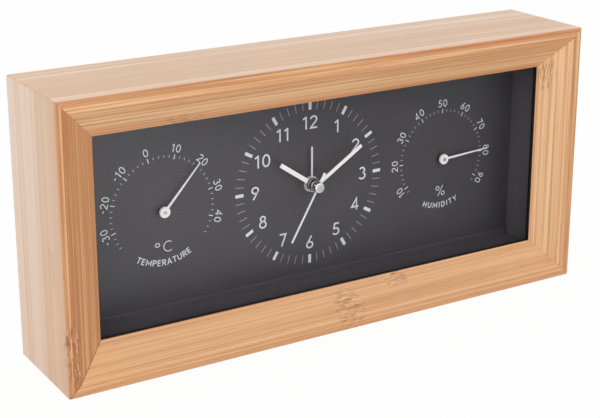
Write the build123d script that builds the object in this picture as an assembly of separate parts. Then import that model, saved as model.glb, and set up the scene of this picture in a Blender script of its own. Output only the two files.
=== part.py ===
from build123d import *
import math
import os

# Bamboo-framed table clock with a thermometer and a hygrometer.
# Millimetres. X runs to the viewer's right, -Y is the front, +Z is up.
# The origin is the middle of the base. "Depth" is measured back from the front plane.

# Case
CASE_W = 255.0
CASE_H = 120.0
FACE_W = 18.0
LAND_W = 5.0
BEVEL_DEPTH = 9.0
LIP_EDGE = 1.2
WALL = 13.0
ARRIS = 1.0

# Pieces dropped into the rebate from behind
DROP_IN = 0.2
SEAL_T = 1.0
GLASS_T = 2.0
SHADOW_DEPTH = 15.3
SURROUND_T = 2.3
DIAL_T = 2.5
BACK_ROOM = 13.5
BACK_T = 2.5
BACK_RECESS = 3.0
BLOCK = 15.0

# Fits
RUN = 0.05
FIT = 0.01
AIR = 0.3

# Dial layout
DIAL_DROP = 0.5
DIAL_Z = CASE_H / 2 - DIAL_DROP
INSTRUMENT_INSET = 38.1
INSTRUMENT_X = CASE_W / 2 - FACE_W - INSTRUMENT_INSET

# Rest pose of the hands and pointers, in degrees clockwise from the top
ALARM_ANGLE = 0.0
HOUR_ANGLE = 304.8
MINUTE_ANGLE = 57.5
SECONDS_ANGLE = 210.0
THERMO_ANGLE = 42.0
HYGRO_ANGLE = 86.4

# Hands: length from the axis, width, and height of the blade above the dial
HAND_T = 0.4
ALARM_HAND_L = 17.0
ALARM_HAND_W = 0.75
ALARM_HAND_UP = 1.5
HOUR_HAND_L = 20.4
HOUR_HAND_W = 1.95
HOUR_HAND_UP = 3.2
MINUTE_HAND_L = 27.8
MINUTE_HAND_W = 1.55
MINUTE_HAND_UP = 5.0
SECONDS_HAND_L = 26.8
SECONDS_HAND_W = 0.7
SECONDS_HAND_UP = 6.8
SECONDS_TAIL_L = 6.8
SECONDS_TAIL_W = 1.2
COLLET_R = 3.2
COLLET_T = 0.5
MINUTE_HUB_R = 2.1
CAP_R = 2.5
CAP_H = 1.6
CAP_ROUND = 0.8

# Concentric tubes under the hands
SECONDS_R = 0.5
MINUTE_R = 1.05
HOUR_R = 1.65
ALARM_R = 2.2
BUSH_R = 2.8
CENTRE_RING_R = 3.6
CENTRE_RING_T = 0.9

# Pointers of the two instruments
POINTER_L = 25.2
POINTER_ROOT_W = 1.0
POINTER_TIP_W = 0.45
POINTER_UP = 1.5
POINTER_HUB_R = 2.35
POINTER_HUB_T = 1.0
STAFF_R = 0.6
POINTER_BUSH_R = 2.0
RIVET_R = 0.75
RIVET_T = 0.4

# Instrument housings behind the dial
CUP_R = 20.0
CUP_DEPTH = 10.0
CUP_WALL = 1.2
CUP_VENTS = 6
CUP_VENT_R = 2.6
CUP_VENT_RING_R = 10.0
LUG_W = 8.0
LUG_L = 7.0
LUG_T = 1.6
COLLAR_R = 1.6
COLLAR_FROM = 2.5
STRIP_W = 4.0
STRIP_T = 0.35
STRIP_PITCH = 2.2
STRIP_HALF_TURNS = 11
ANCHOR_T = 2.0

# Movement case, measured from the hand axis
MOVE_UP = 26.0
MOVE_DOWN = 30.0
MOVE_WALL = 1.5
FLOOR_T = 1.2
LAYER_T = 0.8
LAYER_GAP = 0.4
LAYERS = 7
DECK_T = 1.5
POST_R = 1.6
POST_SINK = 0.3
PIVOT_R = 0.4
PIVOT_IN = 0.7
STUD_R = 0.5
HUB_WALL = 0.3
SHAFT_R = 1.2

# Battery, an AA cell
CELL_R = 7.25
CELL_L = 50.5
CELL_NUB_R = 2.75
CELL_NUB_L = 1.0
CELL_AIR = 0.4
CELL_ROUND = 0.5
BAY_WALL = 1.2
PLUS_T = 0.6
MINUS_T = 0.4
BUMP_L = 1.5
BUMP_R = 3.6
BUMP_TIP_R = 2.4

# Gear train: module and tooth counts
MOTION_M = 0.4
CANNON_TEETH = 10
MOTION_TEETH = 30
MOTION_PINION_TEETH = 8
HOUR_TEETH = 32
SET_TEETH = 10
ALARM_TEETH = 30
ALARM_SET_TEETH = 20
THIRD_M = 0.255
SECONDS_PINION_TEETH = 8
THIRD_TEETH = 64
CENTRE_M = 0.27
THIRD_PINION_TEETH = 8
CENTRE_TEETH = 60
SECONDS_M = 0.3
INTER_PINION_TEETH = 8
SECONDS_TEETH = 40
ROTOR_M = 0.25
ROTOR_TEETH = 8
INTER_TEETH = 48

# Directions of the gear centres, in degrees clockwise from the top
MOTION_DIR = 60.0
SET_DIR = 90.0
ALARM_SET_DIR = -75.0
THIRD_DIR = 0.0
INTER_DIR = 135.0
ROTOR_DIR = 100.0

# Tooth shape: reach in modules, and half thickness in pitches at tip, middle and root
TOOTH_UP = 0.75
TOOTH_DOWN = 1.1
TOOTH_TIP = 0.10
TOOTH_MID = 0.19
TOOTH_ROOT = 0.27

# Motor
MAGNET_R = 2.75
STATOR_AIR = 0.4
STATOR_RIM = 1.5
STATOR_ARM_W = 4.4
CORE_X = 21.2
CORE_W = 3.0
CORE_UP = 16.0
COIL_W = 6.5
COIL_H = 16.0
COIL_DEPTH = 8.0
COIL_Z = 6.0

# Circuit board, crystal, buzzer and alarm switch
BOARD_T = 1.0
BOARD_X0 = -21.8
BOARD_X1 = -13.0
BOARD_Z0 = -10.5
BOARD_Z1 = 6.0
BOARD_FROM = 6.4
BOARD_POST_R = 1.2
BOARD_POST_INSET = 2.4
CRYSTAL_R = 1.0
CRYSTAL_L = 6.0
BUZZER_R = 8.0
BUZZER_T = 4.0
BUZZER_X = -17.0
BUZZER_Z = 15.5
BUZZER_HOLE_R = 1.0
SWITCH_X = -2.5
SWITCH_Z = 21.0
SWITCH_TRAVEL = 5.0
SWITCH_PLATE_L = 9.0
SWITCH_PLATE_W = 6.0
SWITCH_PLATE_T = 0.9
SWITCH_LEVER_L = 3.2
SWITCH_LEVER_W = 2.6
SWITCH_LEVER_UP = 3.2

# Knobs on the back
KNOB_R = 5.6
KNOB_T = 4.8
KNOB_NECK_R = 2.8
KNOB_NECK_T = 0.6
KNOB_FLUTES = 24
KNOB_FLUTE = 0.35
# Corners of one flute: part of its pitch, and share of its depth
FLUTE_CORNERS = ((0.0, 0.0), (0.5, 0.0), (0.6, 1.0), (0.9, 1.0))

# Screws
SCREW_R = 1.2
SCREW_HEAD_R = 2.6
SCREW_HEAD_T = 1.2
SCREW_BITE = 7.0
SMALL_SCREW_R = 0.8
SMALL_HEAD_R = 1.5
SMALL_HEAD_T = 0.8
SMALL_BITE = 5.0
LUG_BITE = 1.8
SLOT_HALF_W = 0.5
SLOT_PART = 0.5

# Back panel openings
WINDOW_AIR = 0.8
VENT_L = 26.0
VENT_W = 2.4
VENT_PITCH = 6.0
VENT_COUNT = 5

# Depths that follow from the stack, down to the depth of the whole case
LIP_BACK = BEVEL_DEPTH + LIP_EDGE
GLASS_FRONT = LIP_BACK + SEAL_T
GLASS_BACK = GLASS_FRONT + GLASS_T
DIAL_FRONT = GLASS_BACK + SHADOW_DEPTH
DIAL_BACK = DIAL_FRONT + DIAL_T
BACK_IN = DIAL_BACK + BACK_ROOM
BACK_OUT = BACK_IN + BACK_T
CASE_D = BACK_OUT + BACK_RECESS
FLOOR_BACK = DIAL_BACK + FLOOR_T
DECK_IN = FLOOR_BACK + AIR + LAYERS * (LAYER_T + LAYER_GAP) - LAYER_GAP + AIR
DECK_OUT = DECK_IN + DECK_T
CELL_DEPTH = FLOOR_BACK + CELL_AIR + CELL_R
BAY_OUT = CELL_DEPTH + CELL_R
BLADE_END = AIR / 2

# Width and heights in the movement, which the battery across it sets, from the hand axis
MOVE_IN_X = (MINUS_T + BUMP_L + CELL_L + PLUS_T) / 2
MOVE_W = 2 * (MOVE_IN_X + MOVE_WALL)
BAY_LOW = -MOVE_DOWN + MOVE_WALL
CELL_Z = BAY_LOW + CELL_AIR + CELL_R
BAY_HIGH = CELL_Z + CELL_R + CELL_AIR
POST_INSET = POST_R - POST_SINK
POST_POINTS = [
    (side * (MOVE_IN_X - POST_INSET), z)
    for side in (-1, 1)
    for z in (BAY_HIGH + BAY_WALL + SMALL_HEAD_R + AIR, MOVE_UP - MOVE_WALL - POST_INSET)
]


def front_plane(depth, x=0.0, z=0.0):
    """Plane facing the viewer at a depth behind the front of the case."""
    return Plane(origin=(x, depth - CASE_D / 2, z), x_dir=(1, 0, 0), z_dir=(0, -1, 0))


def prism(face, near, far, x=0.0, z=0.0):
    """Flat shape run from one depth to another."""
    return extrude(front_plane(far, x, z) * face, amount=far - near)


def disc(r, near, far, x=0.0, z=0.0):
    return prism(Circle(r), near, far, x, z)


def ring(r_out, r_in, near, far, x=0.0, z=0.0):
    return prism(Circle(r_out) - Circle(r_in), near, far, x, z)


def slab(x0, x1, z0, z1, near, far):
    """Block between two X, two Z and two depth values."""
    return prism(Rectangle(x1 - x0, z1 - z0), near, far, (x0 + x1) / 2, (z0 + z1) / 2)


def polygon(points):
    return make_face(Polyline(*points, close=True))


def turned(face, angle):
    """Turn a flat shape clockwise as the viewer sees it."""
    return Rot(0, 0, -angle) * face


def offset_point(start, length, angle):
    """Point at a length from another, at an angle clockwise from the top."""
    a = math.radians(angle)
    return (start[0] + length * math.sin(a), start[1] + length * math.cos(a))


def gear_face(teeth, module, phase):
    """Toothed outline whose first tooth stands at an angle counted from X."""
    r = teeth * module / 2
    root = r - TOOTH_DOWN * module
    tip = r + TOOTH_UP * module
    corners = [(-TOOTH_ROOT, root), (-TOOTH_MID, r), (-TOOTH_TIP, tip)]
    corners += [(-side, radius) for side, radius in reversed(corners)]
    pitch = 2 * math.pi / teeth
    points = []
    for i in range(teeth):
        for side, radius in corners:
            a = math.radians(phase) + (i + side) * pitch
            points.append((radius * math.cos(a), radius * math.sin(a)))
    return polygon(points)


def mesh_phase(teeth, phase, centre, other_teeth, other_centre):
    """Tooth angle that sets the second gear's gap on the first gear's tooth."""
    way = math.degrees(
        math.atan2(other_centre[1] - centre[1], other_centre[0] - centre[0])
    )
    ahead = (phase - way) * teeth / 360
    return way + 180 + (0.5 - ahead) * 360 / other_teeth


def layer(n):
    """Near and far depth of a wheel layer, counted from the dial side."""
    near = FLOOR_BACK + AIR + n * (LAYER_T + LAYER_GAP)
    return near, near + LAYER_T


def at_axis(point):
    """Move a centre from hand-axis measure to case measure."""
    return point[0], point[1] + DIAL_Z


def wheel(teeth, module, phase, n, point, bore=0.0):
    """Toothed wheel in a layer."""
    x, z = at_axis(point)
    face = gear_face(teeth, module, phase)
    if bore:
        face -= Circle(bore)
    return prism(face, *layer(n), x, z)


def rod(r, near, far, point):
    x, z = at_axis(point)
    return disc(r, near, far, x, z)


def screw(head_at, bite, r, head_r, head_t, x, z):
    """Slotted screw driven in from behind, its head standing on a depth."""
    head = disc(head_r, head_at, head_at + head_t, x, z)
    slot_at = head_at + head_t * SLOT_PART
    slot = slab(x - head_r, x + head_r, z - SLOT_HALF_W, z + SLOT_HALF_W, slot_at, head_at + head_t)
    return head - slot + disc(r, head_at - bite, head_at, x, z)


def save(node, *solids):
    """Write one node, made of one or more separate solids."""
    shape = solids[0] if len(solids) == 1 else Compound(children=list(solids))
    export_step(shape, f"parts/{node}.step")


os.makedirs("parts", exist_ok=True)

# Case: one hollow moulding cut into four members at the mitres
blank = Pos(0, 0, CASE_H / 2) * Box(CASE_W, CASE_D, CASE_H)
blank = fillet(blank.edges(), ARRIS)
half_w = CASE_W / 2
half_h = CASE_H / 2
mid_z = half_h
sight_w = CASE_W - 2 * FACE_W
sight_h = CASE_H - 2 * FACE_W
rebate_w = CASE_W - 2 * WALL
rebate_h = CASE_H - 2 * WALL
bevel = loft([
    front_plane(0, 0, mid_z) * Rectangle(CASE_W - 2 * LAND_W, CASE_H - 2 * LAND_W),
    front_plane(BEVEL_DEPTH, 0, mid_z) * Rectangle(sight_w, sight_h),
])
sight = prism(Rectangle(sight_w, sight_h), 0, CASE_D, 0, mid_z)
rebate = prism(Rectangle(rebate_w, rebate_h), LIP_BACK, CASE_D, 0, mid_z)
moulding = blank - bevel - sight - rebate
meet_x = half_w - half_h
MITRES = {
    "top_rail": [(-half_w, half_h), (half_w, half_h), (meet_x, 0), (-meet_x, 0)],
    "bottom_rail": [(-half_w, -half_h), (half_w, -half_h), (meet_x, 0), (-meet_x, 0)],
    "left_stile": [(-half_w, -half_h), (-half_w, half_h), (-meet_x, 0)],
    "right_stile": [(half_w, -half_h), (half_w, half_h), (meet_x, 0)],
}
for node, corners in MITRES.items():
    save(node, moulding & prism(polygon(corners), 0, CASE_D, 0, mid_z))

# Black edge strips between the lip and the glass, then the glass itself
pane_w = rebate_w - 2 * DROP_IN
pane_h = rebate_h - 2 * DROP_IN
strip_z = (pane_h - sight_h) / 2
strip_x = (pane_w - sight_w) / 2
seal = []
for side in (-1, 1):
    z = mid_z + side * (pane_h - strip_z) / 2
    seal.append(prism(Rectangle(pane_w, strip_z), LIP_BACK, GLASS_FRONT, 0, z))
    x = side * (pane_w - strip_x) / 2
    seal.append(prism(Rectangle(strip_x, sight_h), LIP_BACK, GLASS_FRONT, x, mid_z))
save("glass_seal", *seal)
save("front_glass", prism(Rectangle(pane_w, pane_h), GLASS_FRONT, GLASS_BACK, 0, mid_z))

# Shadow-box walls between the glass and the dial
wall_h = pane_h - 2 * SURROUND_T
for name, side in (("top", 1), ("bottom", -1)):
    z = mid_z + side * (pane_h - SURROUND_T) / 2
    save(f"surround_{name}", prism(Rectangle(pane_w, SURROUND_T), GLASS_BACK, DIAL_FRONT, 0, z))
for name, side in (("right", 1), ("left", -1)):
    x = side * (pane_w - SURROUND_T) / 2
    wall = prism(Rectangle(SURROUND_T, wall_h), GLASS_BACK, DIAL_FRONT, x, mid_z)
    save(f"surround_{name}", wall)

# Screw places on the instrument lugs
lug_out = CUP_R + LUG_L / 2 - CUP_WALL / 2
LUG_POINTS = [
    (side * INSTRUMENT_X, DIAL_Z + way * lug_out) for side in (-1, 1) for way in (-1, 1)
]

# Dial panel
dial = prism(Rectangle(pane_w, pane_h), DIAL_FRONT, DIAL_BACK, 0, mid_z)
dial -= disc(BUSH_R + RUN, DIAL_FRONT, DIAL_BACK, 0, DIAL_Z)
for side in (-1, 1):
    dial -= disc(POINTER_BUSH_R + FIT, DIAL_FRONT, DIAL_BACK, side * INSTRUMENT_X, DIAL_Z)
for x, z in LUG_POINTS:
    dial -= disc(SMALL_SCREW_R + FIT, DIAL_BACK - LUG_BITE, DIAL_BACK, x, z)
save("dial_panel", dial)

# Corner blocks, back panel and its screws
block_x = rebate_w / 2 - BLOCK / 2
block_z = rebate_h / 2 - BLOCK / 2
BLOCK_POINTS = [(sx * block_x, mid_z + sz * block_z) for sx in (-1, 1) for sz in (-1, 1)]
blocks = []
panel = prism(Rectangle(pane_w, pane_h), BACK_IN, BACK_OUT, 0, mid_z)
panel_screws = []
for x, z in BLOCK_POINTS:
    block = prism(Rectangle(BLOCK, BLOCK), DIAL_BACK, BACK_IN, x, z)
    blocks.append(block - disc(SCREW_R + FIT, BACK_OUT - SCREW_BITE, BACK_IN, x, z))
    panel -= disc(SCREW_R + AIR, BACK_IN, BACK_OUT, x, z)
    panel_screws.append(screw(BACK_OUT, SCREW_BITE, SCREW_R, SCREW_HEAD_R, SCREW_HEAD_T, x, z))
panel -= slab(
    -MOVE_W / 2 - WINDOW_AIR,
    MOVE_W / 2 + WINDOW_AIR,
    DIAL_Z - MOVE_DOWN - WINDOW_AIR,
    DIAL_Z + MOVE_UP + WINDOW_AIR,
    BACK_IN,
    BACK_OUT,
)
for side in (-1, 1):
    for i in range(VENT_COUNT):
        z = DIAL_Z + (i - (VENT_COUNT - 1) / 2) * VENT_PITCH
        vent = SlotOverall(VENT_L, VENT_W)
        panel -= prism(vent, BACK_IN, BACK_OUT, side * INSTRUMENT_X, z)
save("corner_blocks", *blocks)
save("back_panel", panel)
save("back_panel_screws", *panel_screws)

# Gear centres, measured from the hand axis
CENTRE = (0.0, 0.0)
MOTION = offset_point(CENTRE, MOTION_M * (CANNON_TEETH + MOTION_TEETH) / 2, MOTION_DIR)
SETTER = offset_point(MOTION, MOTION_M * (MOTION_TEETH + SET_TEETH) / 2, SET_DIR)
ALARM_SET = offset_point(CENTRE, MOTION_M * (ALARM_TEETH + ALARM_SET_TEETH) / 2, ALARM_SET_DIR)
THIRD = offset_point(CENTRE, THIRD_M * (SECONDS_PINION_TEETH + THIRD_TEETH) / 2, THIRD_DIR)
INTER = offset_point(CENTRE, SECONDS_M * (INTER_PINION_TEETH + SECONDS_TEETH) / 2, INTER_DIR)
ROTOR = offset_point(INTER, ROTOR_M * (ROTOR_TEETH + INTER_TEETH) / 2, ROTOR_DIR)
L_ALARM, L_HOUR, L_MOTION, L_CENTRE, L_THIRD, L_SECONDS, L_INTER = range(LAYERS)

# Tooth angles that put every pair in mesh at rest
motion_phase = mesh_phase(CANNON_TEETH, 0, CENTRE, MOTION_TEETH, MOTION)
set_phase = mesh_phase(MOTION_TEETH, motion_phase, MOTION, SET_TEETH, SETTER)
hour_phase = mesh_phase(MOTION_PINION_TEETH, 0, MOTION, HOUR_TEETH, CENTRE)
alarm_set_phase = mesh_phase(ALARM_TEETH, 0, CENTRE, ALARM_SET_TEETH, ALARM_SET)
third_phase = mesh_phase(SECONDS_PINION_TEETH, 0, CENTRE, THIRD_TEETH, THIRD)
centre_phase = mesh_phase(THIRD_PINION_TEETH, 0, THIRD, CENTRE_TEETH, CENTRE)
inter_phase = mesh_phase(SECONDS_TEETH, 0, CENTRE, INTER_PINION_TEETH, INTER)
rotor_phase = mesh_phase(INTER_TEETH, 0, INTER, ROTOR_TEETH, ROTOR)

# Movement case: tray, bush, posts and the front bearings
low = DIAL_Z - MOVE_DOWN
high = DIAL_Z + MOVE_UP
case = slab(-MOVE_W / 2, MOVE_W / 2, low, high, DIAL_BACK, DECK_IN)
bay_top = DIAL_Z + BAY_HIGH + BAY_WALL
for z0, z1 in ((bay_top, high - MOVE_WALL), (DIAL_Z + BAY_LOW, DIAL_Z + BAY_HIGH)):
    case -= slab(-MOVE_IN_X, MOVE_IN_X, z0, z1, FLOOR_BACK, DECK_IN)
ring_near = DIAL_FRONT - CENTRE_RING_T
case += rod(BUSH_R, ring_near, FLOOR_BACK, CENTRE)
for point in POST_POINTS:
    case += rod(POST_R, FLOOR_BACK, DECK_IN, point)
    case -= rod(SMALL_SCREW_R + FIT, DECK_OUT - SMALL_BITE, DECK_IN, point)
board_near = FLOOR_BACK + BOARD_FROM
board_mid_x = (BOARD_X0 + BOARD_X1) / 2
for z in (BOARD_Z0 + BOARD_POST_INSET, BOARD_Z1 - BOARD_POST_INSET):
    case += rod(BOARD_POST_R, FLOOR_BACK, board_near, (board_mid_x, z))
case += rod(STUD_R, FLOOR_BACK, layer(L_MOTION)[1], MOTION)
case -= rod(ALARM_R + RUN, ring_near, FLOOR_BACK, CENTRE)
for point in (THIRD, ROTOR, SETTER, ALARM_SET):
    case -= rod(PIVOT_R + RUN, FLOOR_BACK - PIVOT_IN, FLOOR_BACK, point)
save("movement_case", case)

# Rear cover: deck with the rear bearings, and the raised frame around the battery
cover = slab(-MOVE_W / 2, MOVE_W / 2, DIAL_Z + BAY_HIGH, high, DECK_IN, DECK_OUT)
cover += slab(-MOVE_W / 2, MOVE_W / 2, low, bay_top, DECK_IN, BAY_OUT)
cover -= slab(-MOVE_IN_X, MOVE_IN_X, DIAL_Z + BAY_LOW, DIAL_Z + BAY_HIGH, DECK_IN, BAY_OUT)
cover += rod(PIVOT_R, layer(L_SECONDS)[0], DECK_IN, INTER)
for point in (CENTRE, THIRD, ROTOR):
    cover -= rod(PIVOT_R + RUN, DECK_IN, DECK_IN + PIVOT_IN, point)
for point in (SETTER, ALARM_SET):
    cover -= rod(SHAFT_R + RUN, DECK_IN, DECK_OUT, point)
for point in POST_POINTS:
    cover -= rod(SMALL_SCREW_R + AIR, DECK_IN, DECK_OUT, point)
cover -= slab(
    SWITCH_X - SWITCH_LEVER_L / 2 - AIR,
    SWITCH_X + SWITCH_LEVER_L / 2 + SWITCH_TRAVEL + AIR,
    DIAL_Z + SWITCH_Z - SWITCH_LEVER_W / 2 - AIR,
    DIAL_Z + SWITCH_Z + SWITCH_LEVER_W / 2 + AIR,
    DECK_IN,
    DECK_OUT,
)
save("movement_cover", cover)
movement_screws = []
for point in POST_POINTS:
    x, z = at_axis(point)
    movement_screws.append(
        screw(DECK_OUT, SMALL_BITE, SMALL_SCREW_R, SMALL_HEAD_R, SMALL_HEAD_T, x, z)
    )
save("movement_screws", *movement_screws)
save("centre_ring", ring(CENTRE_RING_R, BUSH_R + FIT, ring_near, DIAL_FRONT, 0, DIAL_Z))

# Motor: stator plate with its core leg through the coil
core_x0 = CORE_X - CORE_W / 2
core_x1 = CORE_X + CORE_W / 2
stator_near, stator_far = layer(L_CENTRE)
stator = rod(MAGNET_R + STATOR_AIR + STATOR_RIM, stator_near, stator_far, ROTOR)
arm_z = DIAL_Z + ROTOR[1]
stator += slab(ROTOR[0], core_x1, arm_z - STATOR_ARM_W / 2, arm_z + STATOR_ARM_W / 2, stator_near,
               stator_far)
stator += slab(core_x0, core_x1, arm_z, DIAL_Z + CORE_UP, stator_near, stator_far)
stator -= rod(MAGNET_R + STATOR_AIR, stator_near, stator_far, ROTOR)
save("stator", stator)
coil = slab(CORE_X - COIL_W / 2, CORE_X + COIL_W / 2, DIAL_Z + COIL_Z - COIL_H / 2,
            DIAL_Z + COIL_Z + COIL_H / 2, FLOOR_BACK, FLOOR_BACK + COIL_DEPTH)
coil -= slab(core_x0 - FIT, core_x1 + FIT, DIAL_Z + COIL_Z - COIL_H / 2,
             DIAL_Z + COIL_Z + COIL_H / 2, stator_near - FIT, stator_far + FIT)
save("drive_coil", coil)

# Circuit board on its posts, with the crystal can, and the buzzer on the floor
board = slab(BOARD_X0, BOARD_X1, DIAL_Z + BOARD_Z0, DIAL_Z + BOARD_Z1, board_near,
             board_near + BOARD_T)
save("circuit_board", board)
crystal_z = DIAL_Z + (BOARD_Z0 + BOARD_Z1) / 2
crystal_y = board_near - CRYSTAL_R - CASE_D / 2
crystal = Pos(board_mid_x, crystal_y, crystal_z) * Cylinder(CRYSTAL_R, CRYSTAL_L)
save("quartz_crystal", crystal)
save("buzzer", ring(BUZZER_R, BUZZER_HOLE_R, FLOOR_BACK, FLOOR_BACK + BUZZER_T, BUZZER_X,
                    DIAL_Z + BUZZER_Z))

# Battery and its contacts
nub_end = MOVE_IN_X - PLUS_T
cell_end = nub_end - CELL_L
cell_y = CELL_DEPTH - CASE_D / 2
cell_z = DIAL_Z + CELL_Z


def along_x(r, x0, x1):
    """Round bar along X on the battery's axis."""
    return extrude(Plane(origin=(x0, cell_y, cell_z), z_dir=(1, 0, 0)) * Circle(r), amount=x1 - x0)


can = along_x(CELL_R, cell_end, nub_end - CELL_NUB_L)
can = fillet(can.edges(), CELL_ROUND)
save("battery", can + along_x(CELL_NUB_R, nub_end - CELL_NUB_L, nub_end))
tab = CELL_R - CELL_AIR
tab_near = CELL_DEPTH - tab
tab_far = CELL_DEPTH + tab
plus = slab(nub_end, MOVE_IN_X, cell_z - tab, cell_z + tab, tab_near, tab_far)
save("battery_contact_plus", plus)
bump_x = MINUS_T - MOVE_IN_X
minus = slab(-MOVE_IN_X, bump_x, cell_z - tab, cell_z + tab, tab_near, tab_far)
bump_plane = Plane(origin=((bump_x + cell_end) / 2, cell_y, cell_z), z_dir=(1, 0, 0))
minus += bump_plane * Cone(BUMP_R, BUMP_TIP_R, BUMP_L)
save("battery_contact_minus", minus)

# Rotating train, from the rotor to the hour and alarm tubes
pivot_near = FLOOR_BACK - PIVOT_IN + RUN
pivot_far = DECK_IN + PIVOT_IN - RUN
rotor = rod(PIVOT_R, pivot_near, pivot_far, ROTOR)
rotor += rod(MAGNET_R, layer(L_MOTION)[0], layer(L_CENTRE)[1], ROTOR)
rotor += wheel(ROTOR_TEETH, ROTOR_M, rotor_phase, L_INTER, ROTOR)
save("rotor", rotor)

inter = wheel(INTER_PINION_TEETH, SECONDS_M, inter_phase, L_SECONDS, INTER)
inter += wheel(INTER_TEETH, ROTOR_M, 0, L_INTER, INTER)
inter += rod(PIVOT_R + RUN + HUB_WALL, layer(L_SECONDS)[1], layer(L_INTER)[0], INTER)
inter -= rod(PIVOT_R + RUN, layer(L_SECONDS)[0], layer(L_INTER)[1], INTER)
save("intermediate_wheel", inter)

seconds_top = DIAL_FRONT - SECONDS_HAND_UP - HAND_T
seconds = rod(SECONDS_R, seconds_top, layer(L_INTER)[1], CENTRE)
seconds += rod(PIVOT_R, layer(L_INTER)[1], pivot_far, CENTRE)
seconds += wheel(SECONDS_PINION_TEETH, THIRD_M, 0, L_THIRD, CENTRE)
seconds += wheel(SECONDS_TEETH, SECONDS_M, 0, L_SECONDS, CENTRE)
save("seconds_wheel", seconds)

third = rod(PIVOT_R, pivot_near, pivot_far, THIRD)
third += wheel(THIRD_PINION_TEETH, CENTRE_M, 0, L_CENTRE, THIRD)
third += wheel(THIRD_TEETH, THIRD_M, third_phase, L_THIRD, THIRD)
save("third_wheel", third)


def tube(r, inner_r, up, n):
    """Tube of one of the hands, from above the dial back to its wheel layer."""
    return ring(r, inner_r + RUN, DIAL_FRONT - up, layer(n)[1], 0, DIAL_Z)


minute_up = MINUTE_HAND_UP + HAND_T + BLADE_END
hour_up = HOUR_HAND_UP + HAND_T + BLADE_END
alarm_up = ALARM_HAND_UP + HAND_T + BLADE_END
arbor = tube(MINUTE_R, SECONDS_R, minute_up, L_CENTRE)
arbor += wheel(CANNON_TEETH, MOTION_M, 0, L_MOTION, CENTRE, MINUTE_R)
save("minute_arbor", arbor)
save("centre_wheel", wheel(CENTRE_TEETH, CENTRE_M, centre_phase, L_CENTRE, CENTRE, MINUTE_R + FIT))
save("hour_wheel", tube(HOUR_R, MINUTE_R, hour_up, L_HOUR)
     + wheel(HOUR_TEETH, MOTION_M, hour_phase, L_HOUR, CENTRE, HOUR_R))
save("alarm_wheel", tube(ALARM_R, HOUR_R, alarm_up, L_ALARM)
     + wheel(ALARM_TEETH, MOTION_M, 0, L_ALARM, CENTRE, ALARM_R))

motion = wheel(MOTION_TEETH, MOTION_M, motion_phase, L_MOTION, MOTION)
motion += wheel(MOTION_PINION_TEETH, MOTION_M, 0, L_HOUR, MOTION)
motion += rod(STUD_R + RUN + HUB_WALL, layer(L_HOUR)[1], layer(L_MOTION)[0], MOTION)
save("motion_wheel", motion - rod(STUD_R + RUN, layer(L_HOUR)[0], layer(L_MOTION)[1], MOTION))

# Setting pinions with their shafts, and the knobs pressed on behind the deck
knob_near = DECK_OUT + AIR
knob_far = knob_near + KNOB_NECK_T + KNOB_T
for name, teeth, phase, n, point in (
    ("time_set", SET_TEETH, set_phase, L_MOTION, SETTER),
    ("alarm_set", ALARM_SET_TEETH, alarm_set_phase, L_ALARM, ALARM_SET),
):
    near, far = layer(n)
    pinion = rod(PIVOT_R, pivot_near, near, point)
    pinion += wheel(teeth, MOTION_M, phase, n, point)
    pinion += rod(SHAFT_R, far, knob_far - KNOB_NECK_T, point)
    save(f"{name}_pinion", pinion)
    x, z = at_axis(point)
    rim = []
    for i in range(KNOB_FLUTES):
        for part, share in FLUTE_CORNERS:
            rim.append(offset_point((0, 0), KNOB_R - share * KNOB_FLUTE, 360 * (i + part) / KNOB_FLUTES))
    knob = prism(polygon(rim), knob_near + KNOB_NECK_T, knob_far, x, z)
    knob += disc(KNOB_NECK_R, knob_near, knob_near + KNOB_NECK_T, x, z)
    save(f"{name}_knob", knob - disc(SHAFT_R + FIT, knob_near, knob_far - KNOB_NECK_T, x, z))

# Alarm switch: plate under the deck with a lever through the slot
switch_z = DIAL_Z + SWITCH_Z
plate_far = DECK_IN - RUN
plate = Rectangle(SWITCH_PLATE_L, SWITCH_PLATE_W)
lever = Rectangle(SWITCH_LEVER_L, SWITCH_LEVER_W)
switch = prism(plate, plate_far - SWITCH_PLATE_T, plate_far, SWITCH_X, switch_z)
switch += prism(lever, plate_far, DECK_OUT + SWITCH_LEVER_UP, SWITCH_X, switch_z)
save("alarm_switch", switch)


# Clock hands, each with a collet that sits on its tube
def hand(length, width, up, angle, collet_r, tube_r):
    """Straight blade with a square end, on a round collet."""
    near = DIAL_FRONT - up - HAND_T
    blade = turned(Pos(0, length / 2) * Rectangle(width, length), angle) + Circle(collet_r)
    collet = Circle(collet_r) - Circle(tube_r + FIT)
    shape = prism(blade - Circle(tube_r + FIT), near, near + HAND_T, 0, DIAL_Z)
    return shape + prism(collet, near + HAND_T, near + HAND_T + COLLET_T, 0, DIAL_Z)


for name, length, width, up, angle, collet_r, tube_r in (
    ("alarm", ALARM_HAND_L, ALARM_HAND_W, ALARM_HAND_UP, ALARM_ANGLE, COLLET_R, ALARM_R),
    ("hour", HOUR_HAND_L, HOUR_HAND_W, HOUR_HAND_UP, HOUR_ANGLE, COLLET_R, HOUR_R),
    ("minute", MINUTE_HAND_L, MINUTE_HAND_W, MINUTE_HAND_UP, MINUTE_ANGLE, MINUTE_HUB_R, MINUTE_R),
):
    save(f"{name}_hand", hand(length, width, up, angle, collet_r, tube_r))
sweep_blade = Pos(0, SECONDS_HAND_L / 2) * Rectangle(SECONDS_HAND_W, SECONDS_HAND_L)
tail = Pos(0, -SECONDS_TAIL_L / 2) * Rectangle(SECONDS_TAIL_W, SECONDS_TAIL_L)
sweep = turned(sweep_blade + tail, SECONDS_ANGLE) + Circle(CAP_R)
sweep -= Circle(SECONDS_R + FIT)
save("seconds_hand", prism(sweep, seconds_top, seconds_top + HAND_T, 0, DIAL_Z))
cap = disc(CAP_R, seconds_top - CAP_H, seconds_top, 0, DIAL_Z)
cap = fillet(cap.edges().group_by(Axis.Y)[0], CAP_ROUND)
save("seconds_cap", cap)

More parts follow.
